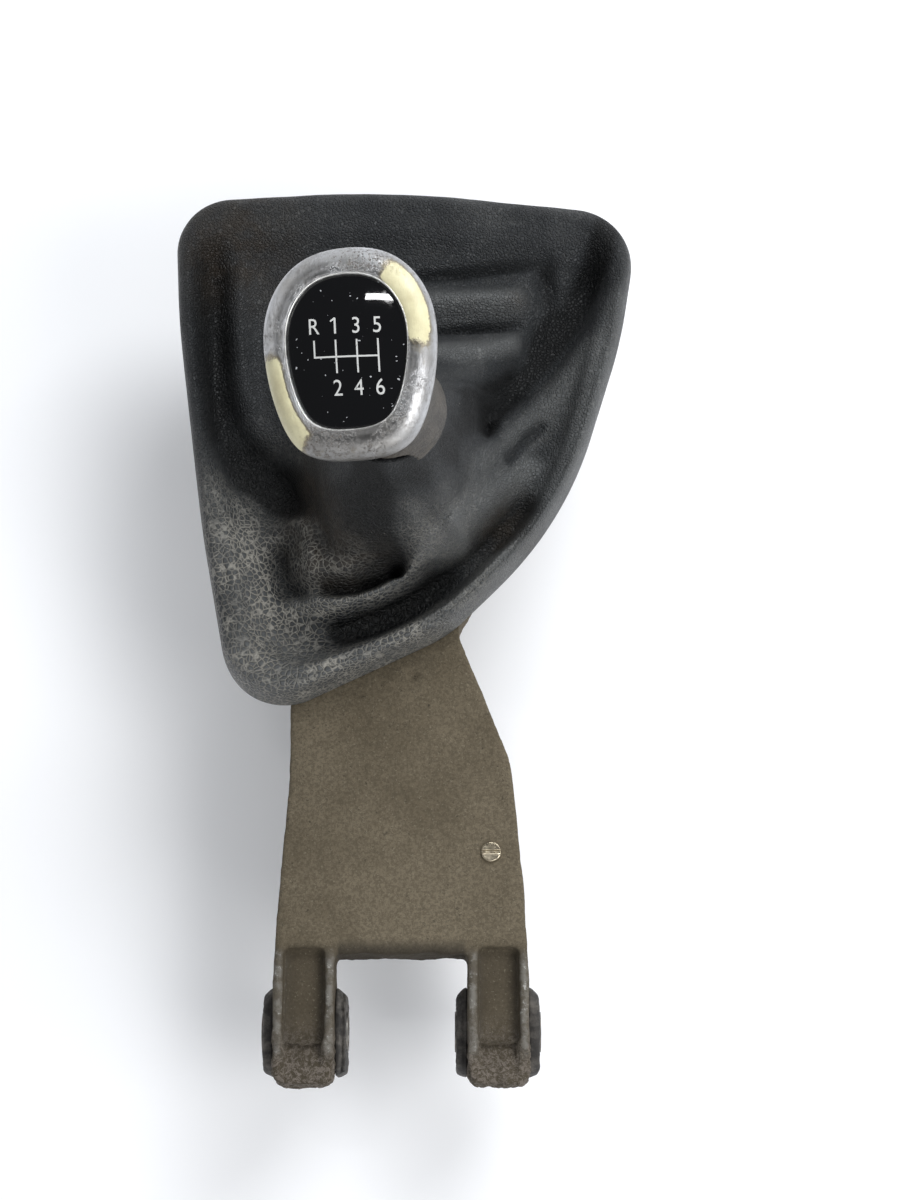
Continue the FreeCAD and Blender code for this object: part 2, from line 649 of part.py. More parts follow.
CLIP = ("Sizes.rod_radius", "Sizes.clip_radius", "Sizes.clip_thickness", ALONG_X)
node(
    tube(
        "rear_spring_clip", *CLIP,
        across=HALF_EYE + " + Sizes.washer_thickness + Sizes.clip_play", **EYE
    ),
    "rear_clip",
)
node(
    tube(
        "front_spring_clip", *CLIP,
        across=HALF_EYE + " + Sizes.clip_play", **FRONT
    ),
    "front_clip",
)

# The front coupling: an eye on the rod's front pin and a socket for the gearbox shaft, with
# a cross hole for the locking pin under a spring sleeve.
MOUTH = "Sizes.rod_front_station - Sizes.coupling_end"
LEVEL = {"up": "Sizes.ball_rise - Sizes.eye_drop"}
coupling_eye = cylinder(
    "coupling_eye", "Sizes.coupling_eye_radius", "Sizes.eye_width", ALONG_X, across="-" + HALF_EYE, **FRONT
)
coupling_neck = box(
    "coupling_neck", "Sizes.eye_width", "Sizes.coupling_start + 1", "2 * Sizes.coupling_eye_radius - 4",
    across="-" + HALF_EYE, along="Sizes.rod_front_station - Sizes.coupling_start - 1",
    up="Sizes.ball_rise - Sizes.eye_drop - Sizes.coupling_eye_radius + 2",
)
coupling_barrel = cylinder(
    "coupling_barrel", "Sizes.coupling_radius", "Sizes.coupling_end - Sizes.coupling_start", ALONG_Y,
    along=MOUTH, **LEVEL
)
coupling_pin_way = cylinder(
    "coupling_pin_way", PIN_BORE, "2 * Sizes.eye_width", ALONG_X, across="-Sizes.eye_width", **FRONT
)
shaft_way = cylinder(
    "shaft_way", "Sizes.shaft_bore_radius", "Sizes.shaft_bore_depth", ALONG_Y, along=MOUTH, **LEVEL
)
cross_way = cylinder(
    "cross_way", "Sizes.cross_hole_radius", "4 * Sizes.coupling_radius",
    along=MOUTH + " + Sizes.cross_hole_inset",
    up="Sizes.ball_rise - Sizes.eye_drop - 2 * Sizes.coupling_radius",
)
coupling_solid = fuse("coupling_solid", coupling_eye, coupling_neck, coupling_barrel)
node(cut("coupling", coupling_solid, coupling_pin_way, shaft_way, cross_way), "front_coupling")
node(
    tube(
        "lock_sleeve", "Sizes.coupling_radius", "Sizes.coupling_radius + Sizes.lock_ring_wall",
        "Sizes.lock_ring_length", ALONG_Y,
        along=MOUTH + " + Sizes.cross_hole_inset - Sizes.lock_ring_length / 2", **LEVEL
    ),
    "lock_ring",
)


# The knob sits on the leaning upper lever. Its sections go from a round skirt to an egg
# with a flat lower end, and its face is tilted towards the fork.
EGG = [(0, 1), (0.6, 0.86), (0.95, 0.42), (0.985, 0), (0.87, -0.5), (0.64, -0.86), (0.3, -0.985), (0, -1)]
EGG_RING = EGG + [(-x, y) for x, y in EGG[-2:0:-1]]


def egg_wire(half_width, half_height, roundness=0.0):
    """Closed curve between the egg, at 0, and a circle of the half width, at 1."""
    points = []
    for x, y in EGG_RING:
        angle = math.atan2(y, x)
        egg = Vector(half_width * x, half_height * y, 0)
        circle = Vector(half_width * math.cos(angle), half_width * math.sin(angle), 0)
        points.append(egg * (1 - roundness) + circle * roundness)
    curve = Part.BSplineCurve()
    curve.interpolate(Points=points, PeriodicFlag=True)
    return Part.Wire(curve.toShape())


def on_axis(station, tilt=0.0):
    turn = Rotation(Vector(0, 0, 1), size("knob_turn")).multiply(Rotation(Vector(1, 0, 0), tilt))
    return upper.multiply(Placement(Vector(0, 0, station), turn))


FACE = on_axis(size("face_station"), size("face_tilt"))


def at_face(rise):
    return FACE.multiply(Placement(Vector(0, 0, rise), UPRIGHT))


def placed(wire, where):
    wire.Placement = where
    return wire


def grip_loft(inset):
    half_width = size("face_half_width") - size("grip_inset") - inset
    half_height = size("face_half_height") - size("grip_inset") - inset
    chest = size("chest_radius") - inset
    tilt = size("face_tilt")
    skirt = size("skirt_radius") - inset
    waist = size("waist_radius") - inset
    wires = [
        placed(egg_wire(skirt, skirt, 1.0), on_axis(size("skirt_start"))),
        placed(egg_wire(waist, waist, 1.0), on_axis(size("waist_station"), tilt * 0.2)),
        placed(egg_wire(chest, chest * 1.1, 0.5), on_axis(size("chest_station"), tilt * 0.6)),
        placed(egg_wire(half_width, half_height), FACE),
    ]
    return Part.makeLoft(wires, True, False)


def waist_block():
    """Everything above the knob's waist, to take the core out of the grip's inside."""
    span = 8 * size("face_half_height")
    block = Part.makeBox(span, span, span, Vector(-span / 2, -span / 2, 0))
    block.Placement = on_axis(size("waist_station"))
    return block


lever_clearance = Part.makeCylinder(
    size("lever_radius"), size("lever_top"), crank, axis
)
grip = doc.addObject("Part::Feature", "grip")
notch_start = on_axis(size("skirt_start")).multVec(Vector(2, 0, 0))
notch_way = lean.multVec(Vector(0, -1, 0))
notch = Part.makeCylinder(size("notch_radius"), 2 * size("skirt_radius"), notch_start, notch_way)
grip.Shape = grip_loft(0).cut(grip_loft(size("grip_wall"))).cut(notch)
node(grip, "knob_grip")

core = doc.addObject("Part::Feature", "core")
core.Shape = grip_loft(size("grip_wall")).common(waist_block()).cut(lever_clearance)
node(core, "knob_core")


# The trim ring's outside as shares of its height and of its roll towards the cap.
RING_STEPS = [(0.0, 0.09), (0.25, 0.0), (0.6, 0.125), (0.87, 0.52), (1.0, 1.0)]


def ring_loft():
    """The trim ring's crowned outside, from its lower edge to the rim of the cap."""
    wide, tall = size("face_half_width"), size("face_half_height")
    crown = size("ring_height")
    roll = size("ring_roll")
    wires = []
    for rise, inset in RING_STEPS:
        wire = egg_wire(wide - roll * inset, tall - roll * inset)
        wires.append(placed(wire, at_face(crown * rise)))
    return Part.makeLoft(wires, True, False)


def cap_solid(play, start, height):
    wire = egg_wire(size("cap_half_width") - play, size("cap_half_height") - play)
    face = Part.Face(placed(wire, at_face(start)))
    return face.extrude(FACE.Rotation.multVec(Vector(0, 0, height)))


trim = doc.addObject("Part::Feature", "trim")
trim.Shape = ring_loft().cut(cap_solid(0, -CLEAR, size("ring_height") + 2 * CLEAR))
node(trim, "knob_trim_ring")

cap = doc.addObject("Part::Feature", "cap")
cap.Shape = cap_solid(size("cap_play"), 0, size("cap_height"))
node(cap, "knob_cap")


def on_lever(thing, start):
    thing.Placement = upper.multiply(Placement(Vector(0, 0, start), UPRIGHT))
    return thing


knob_clip = tube(
    "knob_spring_clip", "Sizes.lever_radius", "Sizes.knob_clip_radius", "Sizes.knob_clip_thickness"
)
node(on_lever(knob_clip, size("waist_station") - size("knob_clip_thickness")), "knob_clip")
collar = tube("neck_collar", "Sizes.lever_radius", "Sizes.collar_radius", "Sizes.collar_length")
node(on_lever(collar, size("collar_start")), "gaiter_collar")

# The gaiter's outline from above, rounded as the console opening is: the corner's place from
# the ball and its radius, as shares of the opening's width and, along the arm, its length.
GAITER_CORNERS = [
    (-0.491, 0.574, 0.12),
    (-0.037, 0.598, 1.95),
    (0.503, 0.547, 0.12),
    (0.460, 0.313, 0.91),
    (0.335, -0.043, 0.79),
    (0.095, -0.253, 0.27),
    (-0.337, -0.436, 0.13),
    (-0.415, -0.070, 2.44),
    (-0.476, 0.334, 1.83),
]
wide, long = size("gaiter_width"), size("gaiter_length")
gaiter_corners = [(x * wide, ball_y + y * long, radius * wide) for x, y, radius in GAITER_CORNERS]
gaiter_outline = sketch("gaiter_outline", rounded_outline(gaiter_corners))
frame_outer = offset("frame_outer", gaiter_outline, "-Sizes.frame_inset")
frame_inner = offset("frame_inner", gaiter_outline, "-Sizes.frame_inset - Sizes.frame_wall")
FRAME_FOOT = "Sizes.web_top + Sizes.jacket_thickness + Sizes.frame_seat"
frame_block = extrude("frame_block", frame_outer, FRAME_FOOT, "Sizes.frame_height")
frame_way = extrude("frame_way", frame_inner, FRAME_FOOT, "Sizes.frame_height")
node(cut("frame", frame_block, frame_way), "gaiter_frame")
doc.recompute()

# Places on the frame, as shares of its length, where a spring clip holds it in the console.
CLIP_SHARES = [0.08, 0.24, 0.43, 0.86]
FRAME_POINTS = 400
CLIP_STEPS = 6


def frame_clips():
    wire = frame_inner.Shape.Wires[0]
    path = wire.discretize(Number=FRAME_POINTS)
    foot = size("web_top") + size("jacket_thickness") + size("frame_seat") - size("frame_clip_drop")
    clips = []
    for share in CLIP_SHARES:
        index = int(share * len(path))
        here = path[index]
        run = (path[index + CLIP_STEPS] - here).normalize()
        inward = Vector(-run.y, run.x, 0)
        middle = Vector(0, size("ball_station"), 0)
        if inward.dot(middle - here) < 0:
            inward = inward * -1
        along = inward.cross(Vector(0, 0, 1))
        start = here + (path[index + CLIP_STEPS] - here) / 2
        start += inward * size("frame_clip_play") - along * (size("frame_clip_length") / 2)
        clip = Part.makeBox(
            size("frame_clip_length"), size("frame_clip_thickness"),
            size("frame_height") / 2 + size("frame_clip_drop"),
        )
        turn = Rotation(along, inward, Vector(0, 0, 1), "XYZ")
        clip.Placement = Placement(Vector(start.x, start.y, foot), turn)
        clips.append(clip)
    return Part.makeCompound(clips)


clips = doc.addObject("Part::Feature", "clips")
clips.Shape = frame_clips()
node(clips, "frame_clips")

# The leather falls from a rolled rim into a valley and climbs to the neck in loose folds.
# Each profile point is a share of the way from the neck, at 0, to the outline, at 1, and a
# height: a share of the way from the foot to the rim, or from the valley to the neck.
RIM_PROFILE = [(1.0, 0.0), (1.0, 0.4), (0.99, 0.72), (0.972, 0.92), (0.945, 1.0), (0.905, 0.96)]
VALLEY_PROFILE = [(0.85, 0.125), (0.77, 0.06), (0.68, 0.01), (0.58, 0.0), (0.48, 0.05), (0.38, 0.14)]
CONE_PROFILE = [(0.29, 0.26), (0.2, 0.41), (0.12, 0.57), (0.045, 0.73), (0.003, 0.86), (0.0, 1.0)]

# Main folds: points along the crease from the ball, height (down if negative) and half width,
# as shares of the opening's width and length, of the tallest fold and of the width.
FOLDS = [
    ([(-0.207, -0.210), (-0.104, -0.189), (0.018, -0.124), (0.079, -0.059), (0.244, 0.092)], 1, 0.040),
    ([(0.402, 0.431), (0.360, 0.313), (0.274, 0.167), (0.146, 0.065)], -0.875, 0.043),
    ([(-0.171, -0.226), (-0.024, -0.243), (0.037, -0.216)], -0.5, 0.037),
    ([(-0.244, 0.011), (-0.128, -0.097), (-0.037, -0.135)], -0.75, 0.043),
    ([(0.037, 0.388), (0.244, 0.420)], -0.5, 0.024),
    ([(0.012, 0.334), (0.268, 0.356)], 0.5, 0.024),
    ([(0.067, 0.280), (0.280, 0.296)], -0.5, 0.024),
    ([(-0.085, -0.011), (0.018, -0.140)], 0.5, 0.024),
]
RING_POINTS = 60
FOLD_LIMIT = 0.9


def fold_height(spot):
    total = 0.0
    for shares, height, half_width in FOLDS:
        crease = [(x * wide, ball_y + y * long) for x, y in shares]
        gap = min(spot_to_run(spot, crease[i], crease[i + 1]) for i in range(len(crease) - 1))
        total += size("fold_depth") * height * math.exp(-((gap / (half_width * wide)) ** 2))
    return total


def spot_to_run(spot, start, stop):
    run = Vector(stop[0] - start[0], stop[1] - start[1], 0)
    offset_here = Vector(spot.x - start[0], spot.y - start[1], 0)
    share = max(0.0, min(1.0, offset_here.dot(run) / run.dot(run)))
    return (offset_here - run * share).Length


def neck_middle(rise):
    """The middle of the gaiter's neck at a height: it follows the bent lever."""
    if rise < crank.z:
        return Vector(crank.x, crank.y, rise)
    return crank + axis * ((rise - crank.z) / axis.z)


def gaiter_rings():
    """Rings of points on the leather's outer face, from the rim's foot to the neck."""
    path = gaiter_outline.Shape.Wires[0].discretize(Number=RING_POINTS + 1)[:-1]
    if (path[0] - crank).cross(path[1] - crank).z > 0:
        path.reverse()
    foot, crest = size("rim_foot"), size("rim_rise")
    low, neck_top = size("valley_rise"), size("neck_rise")
    radius = size("collar_radius") + size("neck_play") + size("leather_thickness")
    rows = [(share, foot + (crest - foot) * rise) for share, rise in RIM_PROFILE]
    rows += [(share, low + (neck_top - low) * rise) for share, rise in VALLEY_PROFILE + CONE_PROFILE]
    rings = []
    for share, rise in rows:
        middle = neck_middle(rise)
        slack = math.sin(math.pi * min(1.0, share / FOLD_LIMIT))
        ring = []
        for spot in path:
            out = Vector(spot.x - crank.x, spot.y - crank.y, 0).normalize()
            inner = Vector(middle.x, middle.y, 0) + out * radius
            here = inner + (Vector(spot.x, spot.y, 0) - inner) * share
            here.z = max(rise + slack * fold_height(here), min(rise, low))
            ring.append(here)
        rings.append(ring)
    return rings


def inner_rings(rings, thickness):
    """The same rings on the leather's inner face, one thickness in along the normals."""
    rows, count = len(rings), len(rings[0])
    result = []
    for row in range(rows):
        ring = []
        for index in range(count):
            around = rings[row][(index + 1) % count] - rings[row][index - 1]
            across = rings[min(row + 1, rows - 1)][index] - rings[max(row - 1, 0)][index]
            normal = across.cross(around).normalize()
            ring.append(rings[row][index] - normal * thickness)
        result.append(ring)
    return result


def ring_wire(ring):
    knots = [index / len(ring) for index in range(len(ring) + 1)]
    curve = Part.BSplineCurve()
    curve.interpolate(Points=ring, PeriodicFlag=True, Parameters=knots)
    return Part.Wire(curve.toShape())


def gaiter_shape():
    outer = gaiter_rings()
    inner = inner_rings(outer, size("leather_thickness"))
    wires = [ring_wire(ring) for ring in outer + inner[::-1]]
    shell = Part.makeLoft(wires + wires[:1], False, True)
    solid = Part.Solid(Part.makeShell(shell.Faces))
    if solid.Volume < 0:
        solid.reverse()
    return solid


leather = doc.addObject("Part::Feature", "leather")
leather.Shape = gaiter_shape()
node(leather, "gaiter")

doc.recompute()
for thing in doc.Objects:
    if "Invalid" in thing.State or "Error" in thing.State:
        raise RuntimeError("failed object: " + thing.Name)
for thing in nodes:
    if thing.Shape.isNull() or not thing.Shape.isValid():
        raise RuntimeError("bad shape: " + thing.Label)

os.makedirs("parts", exist_ok=True)
for thing in nodes:
    solid_count = len(thing.Shape.Solids)
    print(thing.Label, solid_count, round(thing.Shape.Volume, 1))
    thing.Shape.exportStep("parts/" + thing.Label + ".step")
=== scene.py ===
import math

import bmesh
import bpy
import numpy as np
from mathutils import Matrix, Quaternion, Vector, noise
from mathutils.bvhtree import BVHTree


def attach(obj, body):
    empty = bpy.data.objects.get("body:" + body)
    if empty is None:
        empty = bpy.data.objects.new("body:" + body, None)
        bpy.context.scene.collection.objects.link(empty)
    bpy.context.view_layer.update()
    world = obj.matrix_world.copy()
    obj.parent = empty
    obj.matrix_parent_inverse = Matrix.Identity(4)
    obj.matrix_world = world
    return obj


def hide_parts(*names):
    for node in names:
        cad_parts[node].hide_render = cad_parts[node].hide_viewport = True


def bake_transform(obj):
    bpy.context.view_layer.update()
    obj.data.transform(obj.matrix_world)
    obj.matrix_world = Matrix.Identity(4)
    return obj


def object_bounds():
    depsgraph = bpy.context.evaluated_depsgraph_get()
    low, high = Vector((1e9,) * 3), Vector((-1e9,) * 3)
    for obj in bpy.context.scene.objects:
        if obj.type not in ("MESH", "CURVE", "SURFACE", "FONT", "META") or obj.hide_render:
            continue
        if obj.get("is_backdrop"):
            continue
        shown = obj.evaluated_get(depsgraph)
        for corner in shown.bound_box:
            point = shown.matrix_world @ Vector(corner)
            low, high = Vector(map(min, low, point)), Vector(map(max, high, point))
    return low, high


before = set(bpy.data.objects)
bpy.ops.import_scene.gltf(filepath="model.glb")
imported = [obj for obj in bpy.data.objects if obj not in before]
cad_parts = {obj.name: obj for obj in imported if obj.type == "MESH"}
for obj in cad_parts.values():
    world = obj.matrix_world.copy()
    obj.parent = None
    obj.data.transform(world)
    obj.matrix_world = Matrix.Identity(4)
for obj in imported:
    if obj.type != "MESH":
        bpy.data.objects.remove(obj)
cad_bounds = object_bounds()
MM = 0.001

# The studio: a pale floor just under the lowest part of the linkage, soft lamps overhead, and
# a camera that looks down on the arm from the fork's side, as the photograph does.
LOOK_AT = Vector((0.016, 0.1435, 0.018))
LOOK_DISTANCE = 0.8
LOOK_ELEVATION = math.radians(75)
PIXELS_TALL = 1200
FOCAL_PIXELS = 2353
FLOOR_GAP = 0.0005

camera_data = bpy.data.cameras.new("camera")
camera_data.sensor_fit = "VERTICAL"
camera_data.sensor_height = 24.0
camera_data.lens = camera_data.sensor_height * FOCAL_PIXELS / PIXELS_TALL
camera = bpy.data.objects.new("camera", camera_data)
bpy.context.scene.collection.objects.link(camera)
look = Vector((0, math.cos(LOOK_ELEVATION), -math.sin(LOOK_ELEVATION)))
camera.location = LOOK_AT - look * LOOK_DISTANCE
camera.rotation_euler = look.to_track_quat("-Z", "Y").to_euler()
bpy.context.scene.camera = camera


def new_material(name, color, roughness, metallic=0.0):
    made = bpy.data.materials.new(name)
    made.use_nodes = True
    shader = made.node_tree.nodes["Principled BSDF"]
    shader.inputs["Base Color"].default_value = (*color, 1.0)
    shader.inputs["Roughness"].default_value = roughness
    shader.inputs["Metallic"].default_value = metallic
    return made, made.node_tree, shader


def add(tree, kind, sockets=None, **settings):
    made = tree.nodes.new(kind)
    for key, value in settings.items():
        setattr(made, key, value)
    for key, value in (sockets or {}).items():
        made.inputs[key].default_value = value
    return made


def mesh_object(name, mesh, material, smooth=True):
    for polygon in mesh.polygons:
        polygon.use_smooth = smooth
    mesh.materials.clear()
    mesh.materials.append(material)
    made = bpy.data.objects.new(name, mesh)
    bpy.context.scene.collection.objects.link(made)
    return made


def mesh_from(name, points, faces):
    mesh = bpy.data.meshes.new(name)
    mesh.from_pydata([tuple(point) for point in points], [], faces)
    mesh.update()
    return mesh


def white_rays(tree):
    """1 for the rays that find plain white: those seen, mirrored or passed through."""
    rays = add(tree, "ShaderNodeLightPath")
    seen = add(tree, "ShaderNodeMath", operation="MAXIMUM")
    shown = add(tree, "ShaderNodeMath", operation="MAXIMUM")
    tree.links.new(rays.outputs["Is Camera Ray"], seen.inputs[0])
    tree.links.new(rays.outputs["Is Glossy Ray"], seen.inputs[1])
    tree.links.new(seen.outputs[0], shown.inputs[0])
    tree.links.new(rays.outputs["Is Transmission Ray"], shown.inputs[1])
    return shown.outputs[0]


floor_z = cad_bounds[0][2] - FLOOR_GAP
floor_paint, floor_tree, floor_shader = new_material("floor_paint", (0.86, 0.86, 0.87), 0.9)
glow = add(floor_tree, "ShaderNodeEmission", {"Color": (1, 1, 1, 1), "Strength": 0.16})
blend_in = add(floor_tree, "ShaderNodeAddShader")
pick = add(floor_tree, "ShaderNodeMixShader")
out = floor_tree.nodes["Material Output"]
floor_tree.links.new(floor_shader.outputs[0], blend_in.inputs[0])
floor_tree.links.new(glow.outputs[0], blend_in.inputs[1])
floor_tree.links.new(white_rays(floor_tree), pick.inputs[0])
floor_tree.links.new(floor_shader.outputs[0], pick.inputs[1])
floor_tree.links.new(blend_in.outputs[0], pick.inputs[2])
floor_tree.links.new(pick.outputs[0], out.inputs["Surface"])
FLOOR_REACH = 3.0
floor_corners = ((-1, -1), (1, -1), (1, 1), (-1, 1))
floor_points = [(x * FLOOR_REACH, y * FLOOR_REACH, floor_z) for x, y in floor_corners]
floor = mesh_object("floor", mesh_from("floor", floor_points, [(0, 1, 2, 3)]), floor_paint)
floor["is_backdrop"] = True


def lamp(name, place, target, size, power, color=(1, 1, 1), turn=0.0):
    data = bpy.data.lights.new(name, "AREA")
    data.shape = "RECTANGLE"
    data.size, data.size_y = size
    data.energy = power
    data.color = color
    made = bpy.data.objects.new(name, data)
    made.location = place
    aim = (Vector(target) - Vector(place)).to_track_quat("-Z", "Y")
    made.rotation_euler = (aim @ Quaternion((0, 0, 1), turn)).to_euler()
    bpy.context.scene.collection.objects.link(made)
    return made


lamp("window", (0.45, 0.85, 0.95), (0, 0.15, 0.02), (0.8, 0.5), 11, (0.96, 0.98, 1.0))
lamp("right_fill", (0.8, -0.3, 0.95), (0, 0.15, 0), (0.7, 0.7), 7)
lamp("front_fill", (0.2, -1.1, 0.75), (0, 0.15, 0), (0.9, 0.6), 3)
STRIP_TURN = math.radians(-72)
lamp("strip", (-0.272, 0.333, 1.219), (-0.005, 0.194, 0.161), (0.17, 0.022), 0.6, turn=STRIP_TURN)

world = bpy.data.worlds.new("room")
world.use_nodes = True
bpy.context.scene.world = world
world_tree = world.node_tree
room_light = world_tree.nodes["Background"]
room_light.inputs["Color"].default_value = (0.9, 0.94, 1.0, 1)
room_light.inputs["Strength"].default_value = 0.42
world_way = add(world_tree, "ShaderNodeSeparateXYZ")
world_tree.links.new(add(world_tree, "ShaderNodeTexCoord").outputs["Generated"], world_way.inputs[0])
wall_top = {"From Min": 0.3, "From Max": 0.75, "To Min": 1.0, "To Max": 0.12}
wall_to_ceiling = add(world_tree, "ShaderNodeMapRange", wall_top)
world_tree.links.new(world_way.outputs["Z"], wall_to_ceiling.inputs["Value"])
walls = add(world_tree, "ShaderNodeBackground", {"Color": (1, 1, 1, 1)})
world_tree.links.new(wall_to_ceiling.outputs["Result"], walls.inputs["Strength"])
world_pick = add(world_tree, "ShaderNodeMixShader")
world_tree.links.new(white_rays(world_tree), world_pick.inputs[0])
world_tree.links.new(room_light.outputs[0], world_pick.inputs[1])
world_tree.links.new(walls.outputs[0], world_pick.inputs[2])
world_tree.links.new(world_pick.outputs[0], world_tree.nodes["World Output"].inputs["Surface"])
bpy.context.scene.view_settings.view_transform = "Standard"

# The shift arm: a pressed steel tray with an ear each side of both bushes. Its dark coating is
# scuffed, with rust freckles and road dust, and only its underside and rear end show.


def on_object(tree):
    return add(tree, "ShaderNodeTexCoord").outputs["Object"]


def noise_at(tree, vector, scale, detail=4.0, roughness=0.55, distortion=0.0):
    sockets = {"Scale": scale, "Detail": detail, "Roughness": roughness, "Distortion": distortion}
    made = add(tree, "ShaderNodeTexNoise", sockets)
    tree.links.new(vector, made.inputs["Vector"])
    return made.outputs["Fac"]


def ramp(tree, value, low, high, steps=((0.0, 0.0), (1.0, 1.0))):
    """A number from 0 to 1 as value goes from low to high."""
    made = add(tree, "ShaderNodeMapRange", {"From Min": low, "From Max": high}, clamp=True)
    made.inputs["To Min"].default_value = steps[0][1]
    made.inputs["To Max"].default_value = steps[1][1]
    made.interpolation_type = "SMOOTHSTEP"
    tree.links.new(value, made.inputs["Value"])
    return made.outputs["Result"]


def mixed(tree, amount, first, second):
    """Colour mix; first and second are colours or sockets, amount a number or socket."""
    made = add(tree, "ShaderNodeMix", data_type="RGBA")
    plug(tree, amount, made.inputs[0])
    plug(tree, first, made.inputs[6])
    plug(tree, second, made.inputs[7])
    return made.outputs[2]


def plug(tree, value, socket):
    if isinstance(value, bpy.types.NodeSocket):
        tree.links.new(value, socket)
    elif isinstance(value, tuple):
        socket.default_value = (*value, 1.0)
    else:
        socket.default_value = value


def maths(tree, operation, first, second=0.0):
    made = add(tree, "ShaderNodeMath", operation=operation)
    plug(tree, first, made.inputs[0])
    plug(tree, second, made.inputs[1])
    return made.outputs[0]


def bumped(tree, shader, height, distance, strength=1.0, base=None):
    made = add(tree, "ShaderNodeBump", {"Strength": strength, "Distance": distance})
    tree.links.new(height, made.inputs["Height"])
    if base:
        tree.links.new(base, made.inputs["Normal"])
    tree.links.new(made.outputs[0], shader.inputs["Normal"])
    return made.outputs[0]


def metal_material(name, color, worn, roughness, rust=0.0, scratch=900.0):
    """Metal with stains of a second tone, rust freckles and fine scratches."""
    made, tree, shader = new_material(name, color, roughness, 1.0)
    spot = on_object(tree)
    stains = ramp(tree, noise_at(tree, spot, 60, 6, 0.65), 0.38, 0.68)
    freckles = ramp(tree, noise_at(tree, spot, 420, 5, 0.7), 0.6 - 0.18 * rust, 0.74)
    tone = mixed(tree, stains, color, worn)
    tone = mixed(tree, maths(tree, "MULTIPLY", freckles, rust), tone, (0.11, 0.052, 0.024))
    tree.links.new(tone, shader.inputs["Base Color"])
    tree.links.new(ramp(tree, freckles, 0, 1, ((0, 1.0), (1, 1.0 - 0.9 * rust))), shader.inputs["Metallic"])
    smooth_to_rough = ((0, roughness - 0.1), (1, roughness + 0.18))
    rough = ramp(tree, noise_at(tree, spot, 150, 6, 0.7), 0.3, 0.75, smooth_to_rough)
    tree.links.new(rough, shader.inputs["Roughness"])
    bumped(tree, shader, noise_at(tree, spot, scratch, 8, 0.75), 0.00012, 0.5)
    return made


def dress(node_name, material):
    """Gives a carried-over solid its finish; its shape stays as it is."""
    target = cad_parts[node_name]
    target.data.materials.clear()
    target.data.materials.append(material)
    return target


arm_coat, coat_tree, coat_shader = new_material("arm_coat", (0.03, 0.029, 0.028), 0.5)
coat_spot = on_object(coat_tree)
coat_dust = ramp(coat_tree, noise_at(coat_tree, coat_spot, 45, 7, 0.7), 0.42, 0.72)
coat_rust = ramp(coat_tree, noise_at(coat_tree, coat_spot, 320, 5, 0.7), 0.6, 0.7)
coat_tone = mixed(coat_tree, coat_dust, (0.026, 0.025, 0.024), (0.085, 0.075, 0.06))
coat_tone = mixed(coat_tree, coat_rust, coat_tone, (0.12, 0.055, 0.025))
coat_tree.links.new(coat_tone, coat_shader.inputs["Base Color"])
bumped(coat_tree, coat_shader, noise_at(coat_tree, coat_spot, 700, 7, 0.7), 0.00015, 0.6)
dress("shift_arm", arm_coat)

# The foam jacket: a thick sound-deadening lid, khaki and speckled, with soft edges, rubbed
# ridges along both prongs with a painted highlight along them, painted shade along the walls
# of each trough, ragged foam over the bolts, and nicks and a flake on top.


def cad_copy(name, node_name, voxel, smoothing):
    """A rounded working copy of a solid: its doubles are merged, then it is remeshed."""
    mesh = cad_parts[node_name].data.copy()
    shape = bmesh.new()
    shape.from_mesh(mesh)
    bmesh.ops.remove_doubles(shape, verts=shape.verts, dist=1e-6)
    shape.to_mesh(mesh)
    shape.free()
    work = bpy.data.objects.new(name, mesh)
    bpy.context.scene.collection.objects.link(work)
    remesh = work.modifiers.new("remesh", "REMESH")
    remesh.mode = "VOXEL"
    remesh.voxel_size = voxel
    soften = work.modifiers.new("soften", "SMOOTH")
    soften.factor = 0.5
    soften.iterations = smoothing
    solid = bpy.data.meshes.new_from_object(work.evaluated_get(bpy.context.evaluated_depsgraph_get()))
    bpy.data.objects.remove(work)
    solid.name = name
    return solid


def mesh_arrays(mesh):
    count = len(mesh.vertices)
    places = np.empty(count * 3)
    normals = np.empty(count * 3)
    mesh.vertices.foreach_get("co", places)
    mesh.vertices.foreach_get("normal", normals)
    return places.reshape(-1, 3), normals.reshape(-1, 3)


def put_back(mesh, places):
    mesh.vertices.foreach_set("co", places.ravel())
    mesh.update()


def lumps(places, pitch, seed):
    """Smooth noise of about one bump per pitch, from -1 to 1, at each place."""
    shift = Vector((seed * 13.7, seed * 5.1, seed * 9.3))
    return np.array([noise.noise(Vector(place) / pitch + shift) for place in places])


def eased(value):
    """Smooth step of a share, from 0 to 1."""
    value = np.clip(value, 0, 1)
    return value * value * (3 - 2 * value)


def dent(places, middle, radius, depth):
    """Height to take away near a middle point, seen from above."""
    gap = np.hypot(places[:, 0] - middle[0] * MM, places[:, 1] - middle[1] * MM) / (radius * MM)
    return depth * MM * np.exp(-gap ** 2)


def layered(tree, tone, layers):
    """A colour under layers, each given by its place, its strength and its colour."""
    for place, strength, color in layers:
        tone = mixed(tree, maths(tree, "MULTIPLY", place, strength), tone, color)
    return tone


JACKET_TOP = 16.5
PIT = (3.2, 117.5)
FLAKE = (-5.0, 115.0)
BRUISE = (15.5, 122.0)
RIDGES = (23.4, 40.2)
RIDGE_HALF = 1.5
RIDGE_RISE = 0.8
TROUGH_RUN = (-6.0, 26.5)
TROUGH_SINK = 0.5
TROUGH_FLOOR = 12.9
RAMP_LENGTH = 12.0
GAP_EDGE = 25.0
GAP_HALF = 21.0
ROUGH_FROM = 2.0
ROUGH_EASE = 9.0
RAMP_FROM = -5.0

